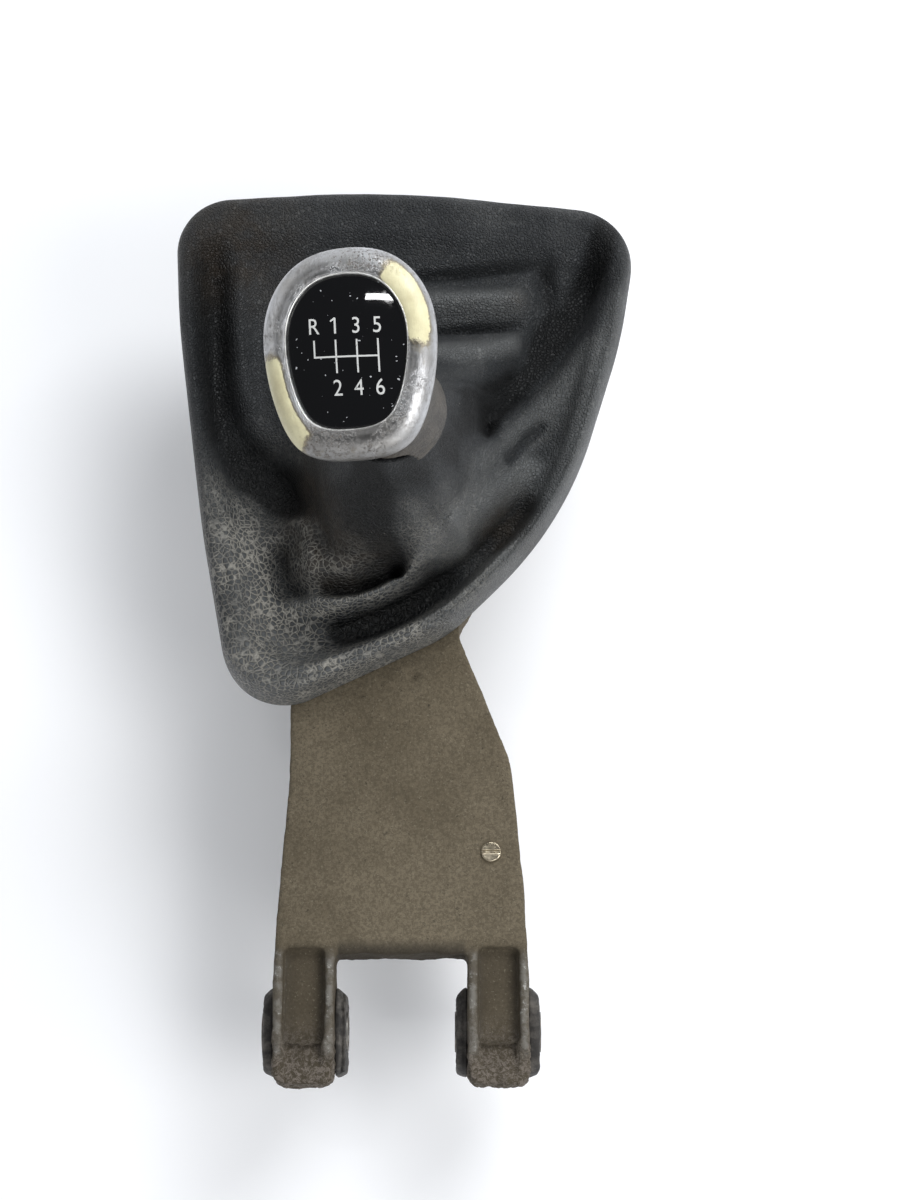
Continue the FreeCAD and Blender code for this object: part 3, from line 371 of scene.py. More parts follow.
jacket_mesh = cad_copy("foam_lid", "foam_jacket", 0.95 * MM, 4)
spots, ways = mesh_arrays(jacket_mesh)
along, across = spots[:, 1] / MM, np.abs(spots[:, 0]) / MM
rough_end = eased((ROUGH_FROM - along) / ROUGH_EASE)
edge_wear = eased(1 - np.abs(along - GAP_EDGE) / 5) * (across < GAP_HALF)
lift = 0.28 * lumps(spots, 14 * MM, 1)
lift += 0.14 * lumps(spots, 4 * MM, 2)
lift += 0.09 * lumps(spots, 1.9 * MM, 15)
lift += rough_end * (0.8 * lumps(spots, 3.6 * MM, 3) + 0.7 * lumps(spots, 1.8 * MM, 4))
lift += edge_wear * (0.6 * lumps(spots, 7 * MM, 16) + 0.3 * lumps(spots, 2.2 * MM, 17))
spots += ways * lift[:, None] * MM
top_side = (ways[:, 2] > 0.3) & (spots[:, 2] > (JACKET_TOP - 6) * MM)
in_run = eased((along - TROUGH_RUN[0]) / 3) * eased((TROUGH_RUN[1] - along) / 4)
ridge_run = eased((along - TROUGH_RUN[0] + 6) / 7) * eased((TROUGH_RUN[1] - along) / 4)
ridge = sum(np.exp(-((across - middle) / RIDGE_HALF) ** 2) for middle in RIDGES) * ridge_run * top_side
between = (across > RIDGES[0] + 2) & (across < RIDGES[1] - 2)
spots[:, 2] += (ridge * RIDGE_RISE - between * in_run * top_side * TROUGH_SINK) * MM

# The end of each trough runs out as a ragged ramp.
ramp_rise = TROUGH_FLOOR + (JACKET_TOP - TROUGH_FLOOR) * eased((RAMP_FROM - along) / RAMP_LENGTH)
ramp_rise += 0.4 * lumps(spots, 3 * MM, 19)
sunk = between & (along < RAMP_FROM) & (spots[:, 2] > ramp_rise * MM)
spots[sunk, 2] = ramp_rise[sunk] * MM
spots[:, 2] -= top_side * (dent(spots, PIT, 1.8, 1.6) + dent(spots, BRUISE, 4.0, 0.5))
spots[:, 2] -= top_side * (dent(spots, FLAKE, 3.6, 0.4) - dent(spots, FLAKE, 2.4, 0.35))
put_back(jacket_mesh, spots)
jacket_mesh.attributes.new("rub_and_highlight", "FLOAT", "POINT").data.foreach_set("value", np.clip(ridge, 0, 1))
# Darker at the gap's ragged edge and at the rough ends, with painted shade along both walls of each trough.
outer_side = between * in_run * eased((across - 33.5) / 5)
grime_and_shade = np.clip(0.75 * edge_wear + 0.35 * rough_end + 0.45 * outer_side, 0, 1)
grime_and_shade = np.maximum(grime_and_shade, 0.5 * between * in_run * eased((29.5 - across) / 5))
jacket_mesh.attributes.new("grime_and_shade", "FLOAT", "POINT").data.foreach_set("value", grime_and_shade)

foam_stuff, foam_tree, foam_shader = new_material("foam_stuff", (0.1, 0.085, 0.06), 0.85)
foam_shader.inputs["Specular IOR Level"].default_value = 0.3
foam_spot = on_object(foam_tree)
foam_cloud = ramp(foam_tree, noise_at(foam_tree, foam_spot, 28, 5, 0.6), 0.3, 0.7)
foam_grit = ramp(foam_tree, noise_at(foam_tree, foam_spot, 1000, 5, 0.8), 0.4, 0.6)
foam_fleck = ramp(foam_tree, noise_at(foam_tree, foam_spot, 1250, 3, 0.7), 0.6, 0.68)
foam_hole = ramp(foam_tree, noise_at(foam_tree, foam_spot, 620, 3, 0.6, 0.4), 0.64, 0.72)
foam_xyz = add(foam_tree, "ShaderNodeSeparateXYZ")
foam_tree.links.new(foam_spot, foam_xyz.inputs[0])
near_fork = ramp(foam_tree, foam_xyz.outputs["Y"], 0.029, 0.023)
foam_rub_and_highlight = add(foam_tree, "ShaderNodeAttribute", attribute_name="rub_and_highlight").outputs["Fac"]
foam_grime_and_shade = add(foam_tree, "ShaderNodeAttribute", attribute_name="grime_and_shade").outputs["Fac"]
foam_patch = ramp(foam_tree, noise_at(foam_tree, foam_spot, 240, 6, 0.7), 0.4, 0.6)
foam_tone = mixed(foam_tree, foam_cloud, (0.108, 0.087, 0.056), (0.165, 0.136, 0.092))
end_share = ramp(foam_tree, foam_xyz.outputs["Y"], 0.008, -0.015)
end_spots = ramp(foam_tree, noise_at(foam_tree, foam_spot, 700, 7, 0.85, 0.8), 0.47, 0.56)
end_share = maths(foam_tree, "MULTIPLY", end_share, end_spots)
foam_tone = layered(foam_tree, foam_tone, [
    (near_fork, 0.6, (0.04, 0.031, 0.02)),
    (foam_grit, 0.55, (0.05, 0.04, 0.025)),
    (foam_fleck, 0.4, (0.26, 0.23, 0.165)),
    # Dirt at the ragged edges, and painted shade in the troughs.
    (foam_grime_and_shade, 0.8, (0.02, 0.017, 0.013)),
    (foam_hole, 0.6, (0.016, 0.013, 0.01)),
    (end_share, 0.7, (0.2, 0.17, 0.145)),
])
# The ridges are rubbed lighter, with a painted highlight along them.
rub_and_highlight_share = maths(foam_tree, "MULTIPLY", foam_rub_and_highlight, ramp(foam_tree, foam_patch, 0, 1, ((0, 0.2), (1, 0.9))))
foam_tone = mixed(foam_tree, rub_and_highlight_share, foam_tone, (0.17, 0.16, 0.14))
bright = ramp(foam_tree, noise_at(foam_tree, foam_spot, 480, 5, 0.8), 0.58, 0.66)
foam_tone = mixed(foam_tree, maths(foam_tree, "MULTIPLY", bright, rub_and_highlight_share), foam_tone, (0.42, 0.41, 0.38))
foam_tree.links.new(foam_tone, foam_shader.inputs["Base Color"])
foam_tree.links.new(ramp(foam_tree, foam_rub_and_highlight, 0, 1, ((0, 0.88), (1, 0.5))), foam_shader.inputs["Roughness"])
foam_fine = noise_at(foam_tree, foam_spot, 1300, 6, 0.75)
foam_normal = bumped(foam_tree, foam_shader, foam_fine, 0.00035, 0.7)
bumped(foam_tree, foam_shader, noise_at(foam_tree, foam_spot, 240, 5, 0.65), 0.0006, 0.5, foam_normal)
foam_lid = mesh_object("foam_lid", jacket_mesh, foam_stuff)
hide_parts("foam_jacket")
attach(foam_lid, "arm")

# The fork's rubber bushes: moulded blocks with square shoulders on both sides of each prong,
# pressed over steel sleeves. The rubber is grey-brown with age, and the left one is split.
rubber_stuff, rubber_tree, rubber_shader = new_material("rubber_stuff", (0.02, 0.018, 0.016), 0.75)
rubber_spot = on_object(rubber_tree)
rubber_dust = ramp(rubber_tree, noise_at(rubber_tree, rubber_spot, 160, 7, 0.7), 0.4, 0.72)
rubber_tone = mixed(rubber_tree, rubber_dust, (0.022, 0.02, 0.018), (0.12, 0.108, 0.094))
rubber_tree.links.new(rubber_tone, rubber_shader.inputs["Base Color"])
rubber_fine = bumped(rubber_tree, rubber_shader, noise_at(rubber_tree, rubber_spot, 900, 6, 0.7), 0.0003, 0.6)
bumped(rubber_tree, rubber_shader, noise_at(rubber_tree, rubber_spot, 260, 5, 0.6), 0.0005, 0.5, rubber_fine)
CRACK_X = {"left": -19.3, "right": 20.5}
CRACK_DEPTH = {"left": 1.5, "right": 0.5}
PRONG_MIDDLE = 31.8
HEAD_START = 10.0
HEAD_LENGTH = 4.2

for side in ("left", "right"):
    bush_mesh = cad_copy("rubber_bush_" + side, "bush_" + side, 0.55 * MM, 16)
    spots, ways = mesh_arrays(bush_mesh)
    lift = 0.3 * MM * lumps(spots, 5 * MM, 5) + 0.16 * MM * lumps(spots, 1.8 * MM, 6)
    wander = CRACK_X[side] * MM + 0.5 * MM * lumps(spots * [0, 1, 0], 5 * MM, 7)
    split = np.exp(-((spots[:, 0] - wander) / (0.35 * MM)) ** 2) * (ways[:, 2] > 0.2)
    lift -= CRACK_DEPTH[side] * MM * split
    spots += ways * lift[:, None]
    head = np.abs(np.abs(spots[:, 0]) / MM - PRONG_MIDDLE)
    flare = eased((head - HEAD_START) / HEAD_LENGTH)
    far_end = eased((spots[:, 1] / MM - 4) / 9)
    near_end = eased((-spots[:, 1] / MM - 6) / 8)
    spots[:, 1] -= flare * (2.6 * far_end - 1.2 * near_end) * MM
    put_back(bush_mesh, spots)
    rubber_bush = mesh_object("rubber_bush_" + side, bush_mesh, rubber_stuff)
    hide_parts("bush_" + side)
    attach(rubber_bush, "arm")

sleeve_steel = metal_material("sleeve_steel", (0.3, 0.29, 0.27), (0.16, 0.145, 0.13), 0.42, rust=0.6)
for node_name in ("sleeve_left", "sleeve_right", "rear_sleeve"):
    dress(node_name, sleeve_steel)
dress("rear_grommet", rubber_stuff)

# The jacket's rivet: a soft shiny head with a worn slot, dull beige at its edge.
rivet_mesh = cad_copy("rivet_head", "jacket_rivet", 0.22 * MM, 3)
spots, ways = mesh_arrays(rivet_mesh)
spots += ways * (0.12 * MM * lumps(spots, 1.6 * MM, 8))[:, None]
put_back(rivet_mesh, spots)
rivet_steel = metal_material("rivet_steel", (0.62, 0.55, 0.42), (0.3, 0.26, 0.19), 0.3, rust=0.25)
rivet_head = mesh_object("rivet_head", rivet_mesh, rivet_steel)
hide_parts("jacket_rivet")
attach(rivet_head, "arm")


# The ball joint: a black moulded housing with its closing ring, a cream cup that rocks in it,
# and the cream ball moulded on the lever. Only their undersides show, through the arm.
def plastic_material(name, color, dusty, roughness, grain=600.0, grain_depth=0.0001):
    made, tree, shader = new_material(name, color, roughness)
    spot = on_object(tree)
    dust = ramp(tree, noise_at(tree, spot, 70, 7, 0.7), 0.42, 0.75)
    tree.links.new(mixed(tree, dust, color, dusty), shader.inputs["Base Color"])
    smooth_to_rough = ((0, roughness - 0.08), (1, roughness + 0.12))
    rough = ramp(tree, noise_at(tree, spot, 180, 5, 0.6), 0.3, 0.7, smooth_to_rough)
    tree.links.new(rough, shader.inputs["Roughness"])
    bumped(tree, shader, noise_at(tree, spot, grain, 5, 0.6), grain_depth, 0.5)
    return made


housing_plastic = plastic_material("housing_plastic", (0.016, 0.016, 0.017), (0.06, 0.054, 0.045), 0.5)
bearing_plastic = plastic_material("bearing_plastic", (0.58, 0.53, 0.4), (0.36, 0.31, 0.21), 0.38)
washer_plastic = plastic_material("washer_plastic", (0.55, 0.33, 0.05), (0.3, 0.19, 0.05), 0.4)
for node_name in ("socket_housing", "socket_ring"):
    dress(node_name, housing_plastic)
for node_name in ("ball_cup", "lever_ball", "eye_bush"):
    dress(node_name, bearing_plastic)
dress("eye_washers", washer_plastic)

# The lever and the selector rod: zinc-plated steel bar, dulled, with a cast coupling and its
# spring sleeve at the gearbox end and a spring clip on each pin.
rod_steel = metal_material("rod_steel", (0.36, 0.35, 0.31), (0.2, 0.19, 0.165), 0.4, rust=0.45)
coupling_steel = metal_material("coupling_steel", (0.15, 0.145, 0.14), (0.09, 0.083, 0.075), 0.55, rust=0.6)
spring_steel = metal_material("spring_steel", (0.24, 0.24, 0.24), (0.13, 0.125, 0.12), 0.34, rust=0.2)
for node_name in ("shift_lever", "selector_rod"):
    dress(node_name, rod_steel)
dress("front_coupling", coupling_steel)
for node_name in ("rear_clip", "front_clip", "lock_ring", "knob_clip", "frame_clips"):
    dress(node_name, spring_steel)

# The gaiter frame and the neck collar: black moulded plastic that the leather is wrapped over.
frame_plastic = plastic_material("frame_plastic", (0.014, 0.014, 0.015), (0.045, 0.04, 0.034), 0.55)
for node_name in ("gaiter_frame", "gaiter_collar"):
    dress(node_name, frame_plastic)

# The gaiter: one sewn leather bag, wrapped over its frame in a fat rolled rim and gathered at
# the knob's neck. It hangs slack between them, in deep valleys and long soft folds, and dust
# has settled in the grain of the corner next to the fork. Light and shade are painted into the
# leather along the folds: a light bluish painted sheen on the ridges, and near-black painted
# shade in the creases and under the knob.
CORNERS = [
    (-80.5, 284.5, 19.0), (-6.0, 289.0, 320.0), (82.5, 279.5, 20.0), (75.5, 236.0, 150.0),
    (55.0, 170.0, 130.0), (15.5, 131.0, 45.0), (-55.3, 97.2, 21.0), (-68.0, 165.0, 400.0),
    (-78.0, 240.0, 300.0),
]
BALL_STATION = 178.0
CRANK_RISE = 84.5
LEVER_LEAN = math.radians(10.8)
LEVER_RAKE = math.radians(3.4)
NECK_RADIUS = 15.9
NECK_RISE = 106.0
RIM_FOOT = 17.4
RIM_RISE = 36.5
VALLEY_RISE = 25.5
LOWEST_LEATHER = 22.3
LEATHER = 1.3

crank = Vector((0, BALL_STATION, CRANK_RISE))
lean = Matrix.Rotation(-LEVER_LEAN, 4, "Y") @ Matrix.Rotation(-LEVER_RAKE, 4, "X")
axis = lean @ Vector((0, 0, 1))


def corner_arc(before, point, after, radius):
    """Points on the round of one corner of the outline, in mm."""
    back = (Vector(before) - point).normalized()
    ahead = (Vector(after) - point).normalized()
    half = back.angle(ahead) / 2
    centre = point + (back + ahead).normalized() * (radius / math.sin(half))
    start = point + back * (radius / math.tan(half)) - centre
    turn = start.angle_signed(point + ahead * (radius / math.tan(half)) - centre)
    return [centre + Matrix.Rotation(-turn * step / 40, 2) @ start for step in range(41)]


def rounded_run(corners, count):
    """Evenly spaced points along the outline whose corners are rounded, in mm."""
    run = []
    for index, (x, y, radius) in enumerate(corners):
        after = corners[(index + 1) % len(corners)]
        run += corner_arc(corners[index - 1][:2], Vector((x, y)), after[:2], radius)
    run = np.array([tuple(point) for point in run + run[:1]])
    length = np.concatenate([[0], np.cumsum(np.hypot(*np.diff(run, axis=0).T))])
    at = np.linspace(0, length[-1], count, endpoint=False)
    return np.stack([np.interp(at, length, run[:, 0]), np.interp(at, length, run[:, 1])], axis=1)


def smooth_rows(rows, count, stretch=90.0):
    """A smooth run of count points through rows; the first value counts stretch times."""
    rows = np.array(rows)
    gaps = np.hypot((rows[1:, 0] - rows[:-1, 0]) * stretch, rows[1:, 1] - rows[:-1, 1])
    knots = np.concatenate([[0], np.cumsum(gaps)])
    at = np.linspace(0, knots[-1], count)
    slopes = np.gradient(rows, knots, axis=0)
    index = np.clip(np.searchsorted(knots, at, side="right") - 1, 0, len(knots) - 2)
    step = (knots[index + 1] - knots[index])[:, None]
    t = (at - knots[index])[:, None] / step
    near = rows[index] * (2 * t ** 3 - 3 * t ** 2 + 1) + slopes[index] * step * (t ** 3 - 2 * t ** 2 + t)
    far = rows[index + 1] * (3 * t ** 2 - 2 * t ** 3) + slopes[index + 1] * step * (t ** 3 - t ** 2)
    return near + far


RIM_PROFILE = [(1.0, 0.0), (1.0, 0.4), (0.99, 0.72), (0.972, 0.92), (0.945, 1.0), (0.9, 0.95)]
VALLEY_PROFILE = [(0.84, 0.1), (0.77, 0.045), (0.68, 0.01), (0.58, 0.0), (0.48, 0.05), (0.38, 0.14)]
CONE_PROFILE = [(0.29, 0.26), (0.2, 0.41), (0.12, 0.57), (0.045, 0.73), (0.003, 0.86), (0.0, 1.0)]

# Each fold is a run of (x, y, height) points in mm, a half width, and how much painted light
# or painted shade is put into the leather's colour along it. A negative height is a crease.
FOLDS = [
    ([(71, 273, -6), (64, 255, -10), (55, 239, -12), (44, 224, -14), (33, 211, -16), (26, 199, -14)],
     5.6, -1.3),
    ([(26, 199, -10), (21, 187, -9), (16, 175, -5)], 4.6, -1.0),
    # A painted shadow on the neck, under the knob's skirt.
    ([(16, 174, 0), (8, 165, 0), (-2, 161, 0), (-12, 165, 0)], 3.4, -0.9),
    ([(-67, 262, -6), (-67, 239, -9), (-65.5, 217, -10), (-62, 199, -10), (-54, 185, -10), (-41, 178, -10)],
     6.5, -1.0),
    ([(-41, 178, -10), (-30, 171, -11), (-20, 164, -6), (-9, 158, -2)], 6.0, -0.85),
    ([(-50, 190, -3), (-38, 186, -2), (-27, 178, 0)], 7.0, -0.45),
    ([(-58, 258, 4), (-57, 232, 5), (-55, 214, 5), (-49, 198, 4)], 5.5, -0.3),
    ([(-14, 160, -6), (-7, 155.5, -9), (-1, 150.5, -9)], 3.2, -0.6),
    ([(-4, 164, 2), (3, 160, 3), (8, 156, 2)], 3.5, 0.5),
    ([(-34, 162, -4), (-23.5, 157, -9), (-12, 152, -13)], 5.5, -0.3),
    ([(-25, 143.5, -5), (-16, 143.5, -8), (-8, 146.5, -9), (-2.5, 149.5, -10)], 3.4, -0.95),
    ([(-35, 140, 3), (-20.5, 137.5, 8), (-9, 141.5, 10), (1, 146.5, 10), (10, 152.6, 9), (18, 159, 8)],
     3.2, 1.35),
    ([(18, 159, 8), (26, 167.7, 7), (36, 179, 5), (43, 187, 3)], 4.0, 0.8),
    ([(-19, 131, -4), (-9, 134.5, -7), (1, 140, -8), (10, 147, -8)], 6.6, -1.5),
    ([(16, 150, -7), (24.5, 157, -7), (33, 164, -6), (41, 172, -4)], 4.5, -0.6),
    ([(48, 180, 0), (58, 197, 0), (66, 218, 0)], 4.0, 0.3),
    ([(-50, 122, 1), (-33, 117, 2), (-16, 119, 3), (3, 126.5, 3), (20, 139, 3), (33, 152, 2)], 6.0, 0.45),
    ([(33, 152, 2), (47, 168, 1), (59, 190, 0), (69, 216, 0), (76, 245, 0)], 6.0, 0.6),
    ([(14, 168, 0), (33, 189, 3), (50, 210, 4), (63, 230, 2)], 6.0, 0.45),
    ([(5.5, 258, -4), (19.5, 259, -5), (33, 260.5, -4), (44, 261, -2)], 1.7, -0.4),
    ([(8, 247, 8), (24, 247.5, 9), (38, 248, 8)], 5.5, 0.75),
    ([(49, 259, -5), (51, 246, -6), (45, 232, -4)], 3.2, -0.6),
    ([(12, 236, -4), (23, 237.5, -5), (33, 238.5, -4), (40, 239.5, -2)], 1.6, -0.35),
    ([(12, 224, 5), (26, 226, 6), (37, 230, 4)], 5.0, 0.7),
    ([(14, 203, -1.8), (23, 207.5, -2.4), (32, 214, -2), (37, 221, -1)], 1.3, -0.35),
    ([(15, 198, -1.8), (25, 202, -2.4), (34, 209, -1)], 1.3, -0.3),
    ([(-34, 166, 4), (-31, 157, 6), (-31, 148, 5)], 3.6, 0.3),
    ([(-41, 157, -4), (-40, 146, -6), (-34, 143, -5)], 3.0, -0.6),
    ([(-55, 158, 2), (-52, 148, 4), (-49, 138, 3), (-44, 122, 0)], 7.5, 0.5),
    ([(-58, 110, 0), (-38, 114, 0)], 14.0, 0.65),
    ([(36, 188, -2), (41.5, 196.5, -3), (47, 202, -2)], 1.7, -0.7),
    ([(-74, 150, 0), (-80, 200, 0), (-81, 285, 0)], 6.0, -0.35),
]
FOLD_END = 0.93
FOLD_FADE = 0.09

# The bag turns in two bands, below and above this height. The folds run out under it, so that
# both bands turn alike where they meet.
JOIN_RISE = 62.0
JOIN_EASE = 13.0


def fold_fields(spots):
    """Height in mm and painted light or shade of the folds at each flat spot."""
    heights = np.zeros(len(spots))
    painted_lights = np.zeros(len(spots))
    for run, half_width, painted_light in FOLDS:
        nearest = np.full(len(spots), 1e9)
        height = np.zeros(len(spots))
        for start, stop in zip(run[:-1], run[1:]):
            start, stop = np.array(start), np.array(stop)
            way = stop[:2] - start[:2]
            share = np.clip((spots - start[:2]) @ way / (way @ way), 0, 1)
            gap = np.hypot(*(spots - start[:2] - share[:, None] * way).T)
            closer = gap < nearest
            nearest = np.where(closer, gap, nearest)
            height = np.where(closer, start[2] + share * (stop[2] - start[2]), height)
        bell = np.exp(-(nearest / half_width) ** 2)
        heights += height * bell
        painted_lights += painted_light * bell
    return heights, painted_lights


AROUND = 420
ROWS = 210
outline = rounded_run(CORNERS, AROUND)
rim_rows = [(share, RIM_FOOT + (RIM_RISE - RIM_FOOT) * rise) for share, rise in RIM_PROFILE]
slope_rows = [
    (share, VALLEY_RISE + (NECK_RISE - VALLEY_RISE) * rise)
    for share, rise in VALLEY_PROFILE + CONE_PROFILE
]
rows = smooth_rows(rim_rows + slope_rows, ROWS)
out_way = outline - np.array(crank[:2])
out_way /= np.hypot(*out_way.T)[:, None]
gaiter_grid = np.empty((ROWS, AROUND, 3))
gaiter_painted_light = np.empty((ROWS, AROUND))
for index, (share, rise) in enumerate(rows):
    above = max(0.0, rise - CRANK_RISE)
    middle = np.array(crank[:2]) + np.array((axis.x, axis.y)) / axis.z * above
    inner = middle + out_way * NECK_RADIUS
    flat = inner + (outline - inner) * share
    slack = eased((FOLD_END - share) / FOLD_FADE)
    if share < 0.5:
        slack *= eased((JOIN_RISE - rise) / JOIN_EASE)
    heights, painted_lights = fold_fields(flat)
    gaiter_grid[index, :, :2] = flat
    gaiter_grid[index, :, 2] = rise + slack * heights
    gaiter_painted_light[index] = painted_lights
    if share < FOLD_END:
        low = gaiter_grid[index, :, 2] < LOWEST_LEATHER + 2
        press = np.exp((gaiter_grid[index, :, 2] - LOWEST_LEATHER - 2) / 2)
        gaiter_grid[index, low, 2] = LOWEST_LEATHER + 2 * press[low]

flat_grid = gaiter_grid.reshape(-1, 3)
free = eased(rows[:, 0] * 8).repeat(AROUND)
flat_grid[:, 2] += free * (0.5 * lumps(flat_grid, 24, 11) + 0.3 * lumps(flat_grid, 10, 12))
gaiter_painted_light = gaiter_painted_light.ravel() + 0.16 * lumps(flat_grid, 17, 13)
gaiter_painted_light = gaiter_painted_light.reshape(ROWS, AROUND)
gaiter_grid = flat_grid.reshape(ROWS, AROUND, 3) * MM

leather_stuff, hide_tree, hide_shader = new_material("leather_stuff", (0.02, 0.021, 0.023), 0.5)
hide_spot = on_object(hide_tree)


def patch(tree, spot, middle, radius, soft):
    """1 near a middle point given in mm, falling to 0 past the radius."""
    gap = add(tree, "ShaderNodeVectorMath", operation="DISTANCE")
    tree.links.new(spot, gap.inputs[0])
    gap.inputs[1].default_value = tuple(part * MM for part in middle)
    return ramp(tree, gap.outputs["Value"], (radius + soft) * MM, (radius - soft) * MM)


def cells(tree, spot, scale, kind="DISTANCE_TO_EDGE"):
    made = add(tree, "ShaderNodeTexVoronoi", {"Scale": scale, "Randomness": 1.0}, feature=kind)
    tree.links.new(spot, made.inputs["Vector"])
    return made.outputs["Distance"]


GRAIN_WANDER = 0.0012
wobble = add(hide_tree, "ShaderNodeTexNoise", {"Scale": 330.0, "Detail": 2.0})
hide_tree.links.new(hide_spot, wobble.inputs["Vector"])
shifted = add(hide_tree, "ShaderNodeVectorMath", operation="MULTIPLY_ADD")
hide_tree.links.new(wobble.outputs["Color"], shifted.inputs[0])
shifted.inputs[1].default_value = (GRAIN_WANDER, GRAIN_WANDER, GRAIN_WANDER)
hide_tree.links.new(hide_spot, shifted.inputs[2])
coarse = ramp(hide_tree, cells(hide_tree, shifted.outputs[0], 560), 0.0, 0.24)
fine = ramp(hide_tree, cells(hide_tree, shifted.outputs[0], 900), 0.0, 0.25)
corner_zone = patch(hide_tree, hide_spot, (-40, 125, 30), 62, 42)
grain = mixed(hide_tree, corner_zone, fine, coarse)
painted_light_map = add(hide_tree, "ShaderNodeAttribute", attribute_name="painted_light").outputs["Fac"]
cloud = noise_at(hide_tree, hide_spot, 55, 6, 0.65)
painted_light_and_tone = maths(hide_tree, "ADD", painted_light_map, maths(hide_tree, "MULTIPLY", cloud, 0.35))
# Painted light: where the folds are painted lit, the leather turns a light bluish grey, a painted sheen;
# where they are painted in shade, it turns near black.
painted_lit_share = ramp(hide_tree, painted_light_and_tone, 0.62, 1.05)
painted_shade_share = ramp(hide_tree, painted_light_and_tone, 0.62, 0.18)
hide_tone = mixed(hide_tree, painted_lit_share, (0.024, 0.0265, 0.029), (0.092, 0.096, 0.097))
hide_tone = mixed(hide_tree, painted_shade_share, hide_tone, (0.0036, 0.0043, 0.0048))
brown_low = patch(hide_tree, hide_spot, (-26, 164, 44), 22, 10)
brown_spot = patch(hide_tree, hide_spot, (42, 247, 36), 5, 5)
brown_side = patch(hide_tree, hide_spot, (35, 167, 26), 11, 7)
brown_top = patch(hide_tree, hide_spot, (-58, 268, 30), 20, 14)
brown = brown_low
for other_brown in (brown_spot, brown_side, brown_top):
    brown = maths(hide_tree, "MAXIMUM", brown, other_brown)
brown_noise = noise_at(hide_tree, hide_spot, 130, 6, 0.7)
brown_break = ramp(hide_tree, brown_noise, 0.35, 0.65, ((0, 0.25), (1, 0.85)))
brown_share = maths(hide_tree, "MULTIPLY", brown, brown_break)
hide_tone = mixed(hide_tree, brown_share, hide_tone, (0.028, 0.021, 0.0145))
dust_noise = noise_at(hide_tree, hide_spot, 70, 6, 0.65)
dust_break = ramp(hide_tree, dust_noise, 0.36, 0.62, ((0, 0.4), (1, 1.0)))
# The pale dust in the grain shows more where the leather is painted lit.
dust_on_painted_light = ramp(hide_tree, painted_light_and_tone, 0.2, 0.95, ((0, 0.05), (1, 1.0)))
dust_amount = maths(hide_tree, "MULTIPLY", maths(hide_tree, "MULTIPLY", dust_break, dust_on_painted_light),
                    ramp(hide_tree, corner_zone, 0, 1, ((0, 0.1), (1, 1.0))))
crease_dust = maths(hide_tree, "MULTIPLY", maths(hide_tree, "SUBTRACT", 1.0, grain), dust_amount)
hide_tone = mixed(hide_tree, crease_dust, hide_tone, (0.3, 0.285, 0.25))
speck = ramp(hide_tree, noise_at(hide_tree, hide_spot, 800, 2, 0.5), 0.76, 0.79)
hide_tone = mixed(hide_tree, maths(hide_tree, "MULTIPLY", speck, 0.5), hide_tone, (0.3, 0.28, 0.24))
hide_tree.links.new(hide_tone, hide_shader.inputs["Base Color"])
hide_rough = ramp(hide_tree, noise_at(hide_tree, hide_spot, 40, 5, 0.6), 0.3, 0.7, ((0, 0.44), (1, 0.62)))
hide_tree.links.new(hide_rough, hide_shader.inputs["Roughness"])
hide_shader.inputs["Specular IOR Level"].default_value = 0.3
hide_pores = bumped(hide_tree, hide_shader, noise_at(hide_tree, hide_spot, 1800, 3, 0.6), 0.00008, 0.5)
bumped(hide_tree, hide_shader, grain, 0.0007, 0.85, hide_pores)


def outward_mesh(name, points, faces):
    mesh = mesh_from(name, points, faces)
    shape = bmesh.new()
    shape.from_mesh(mesh)
    bmesh.ops.recalc_face_normals(shape, faces=shape.faces)
    shape.to_mesh(mesh)
    shape.free()
    return mesh


def leather_band(name, first, last):
    """A closed band of the bag between two rows: outer face, inner face and both edges."""
    grid = gaiter_grid[first:last]
    high, wide = grid.shape[:2]
    around = np.roll(gaiter_grid, -1, axis=1) - np.roll(gaiter_grid, 1, axis=1)
    normal = np.cross(around, np.gradient(gaiter_grid, axis=0))
    normal /= np.linalg.norm(normal, axis=2)[:, :, None]
    normal *= np.sign(np.sum(normal[ROWS // 2, :, 2]))
    inner = grid - normal[first:last] * LEATHER * MM
    points = np.concatenate([grid.reshape(-1, 3), inner.reshape(-1, 3)])
    back = high * wide
    top = (high - 1) * wide
    faces = []
    for column in range(wide):
        following = (column + 1) % wide
        for row in range(high - 1):
            a, b = row * wide + column, row * wide + following
            faces.append((a, b, b + wide, a + wide))
            faces.append((back + a, back + a + wide, back + b + wide, back + b))
        faces.append((column, back + column, back + following, following))
        faces.append((top + column, top + following, back + top + following, back + top + column))
    band = mesh_object(name, outward_mesh(name, points, faces), leather_stuff)
    # The folds' painted light and shade, stored on both faces for the leather's colour.
    painted_lights = np.clip(np.tile(gaiter_painted_light[first:last].ravel(), 2), -1, 1) * 0.5 + 0.5
    band.data.attributes.new("painted_light", "FLOAT", "POINT").data.foreach_set("value", painted_lights)
    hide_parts("gaiter")
    return band


past_valley = rows[:, 0] < 0.5
join_row = int(np.argmax(past_valley & (rows[:, 1] > JOIN_RISE)))
gaiter_skirt = leather_band("gaiter_skirt", 0, join_row + 1)
gaiter_neck = leather_band("gaiter_neck", join_row, ROWS)
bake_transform(gaiter_skirt)
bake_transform(gaiter_neck)

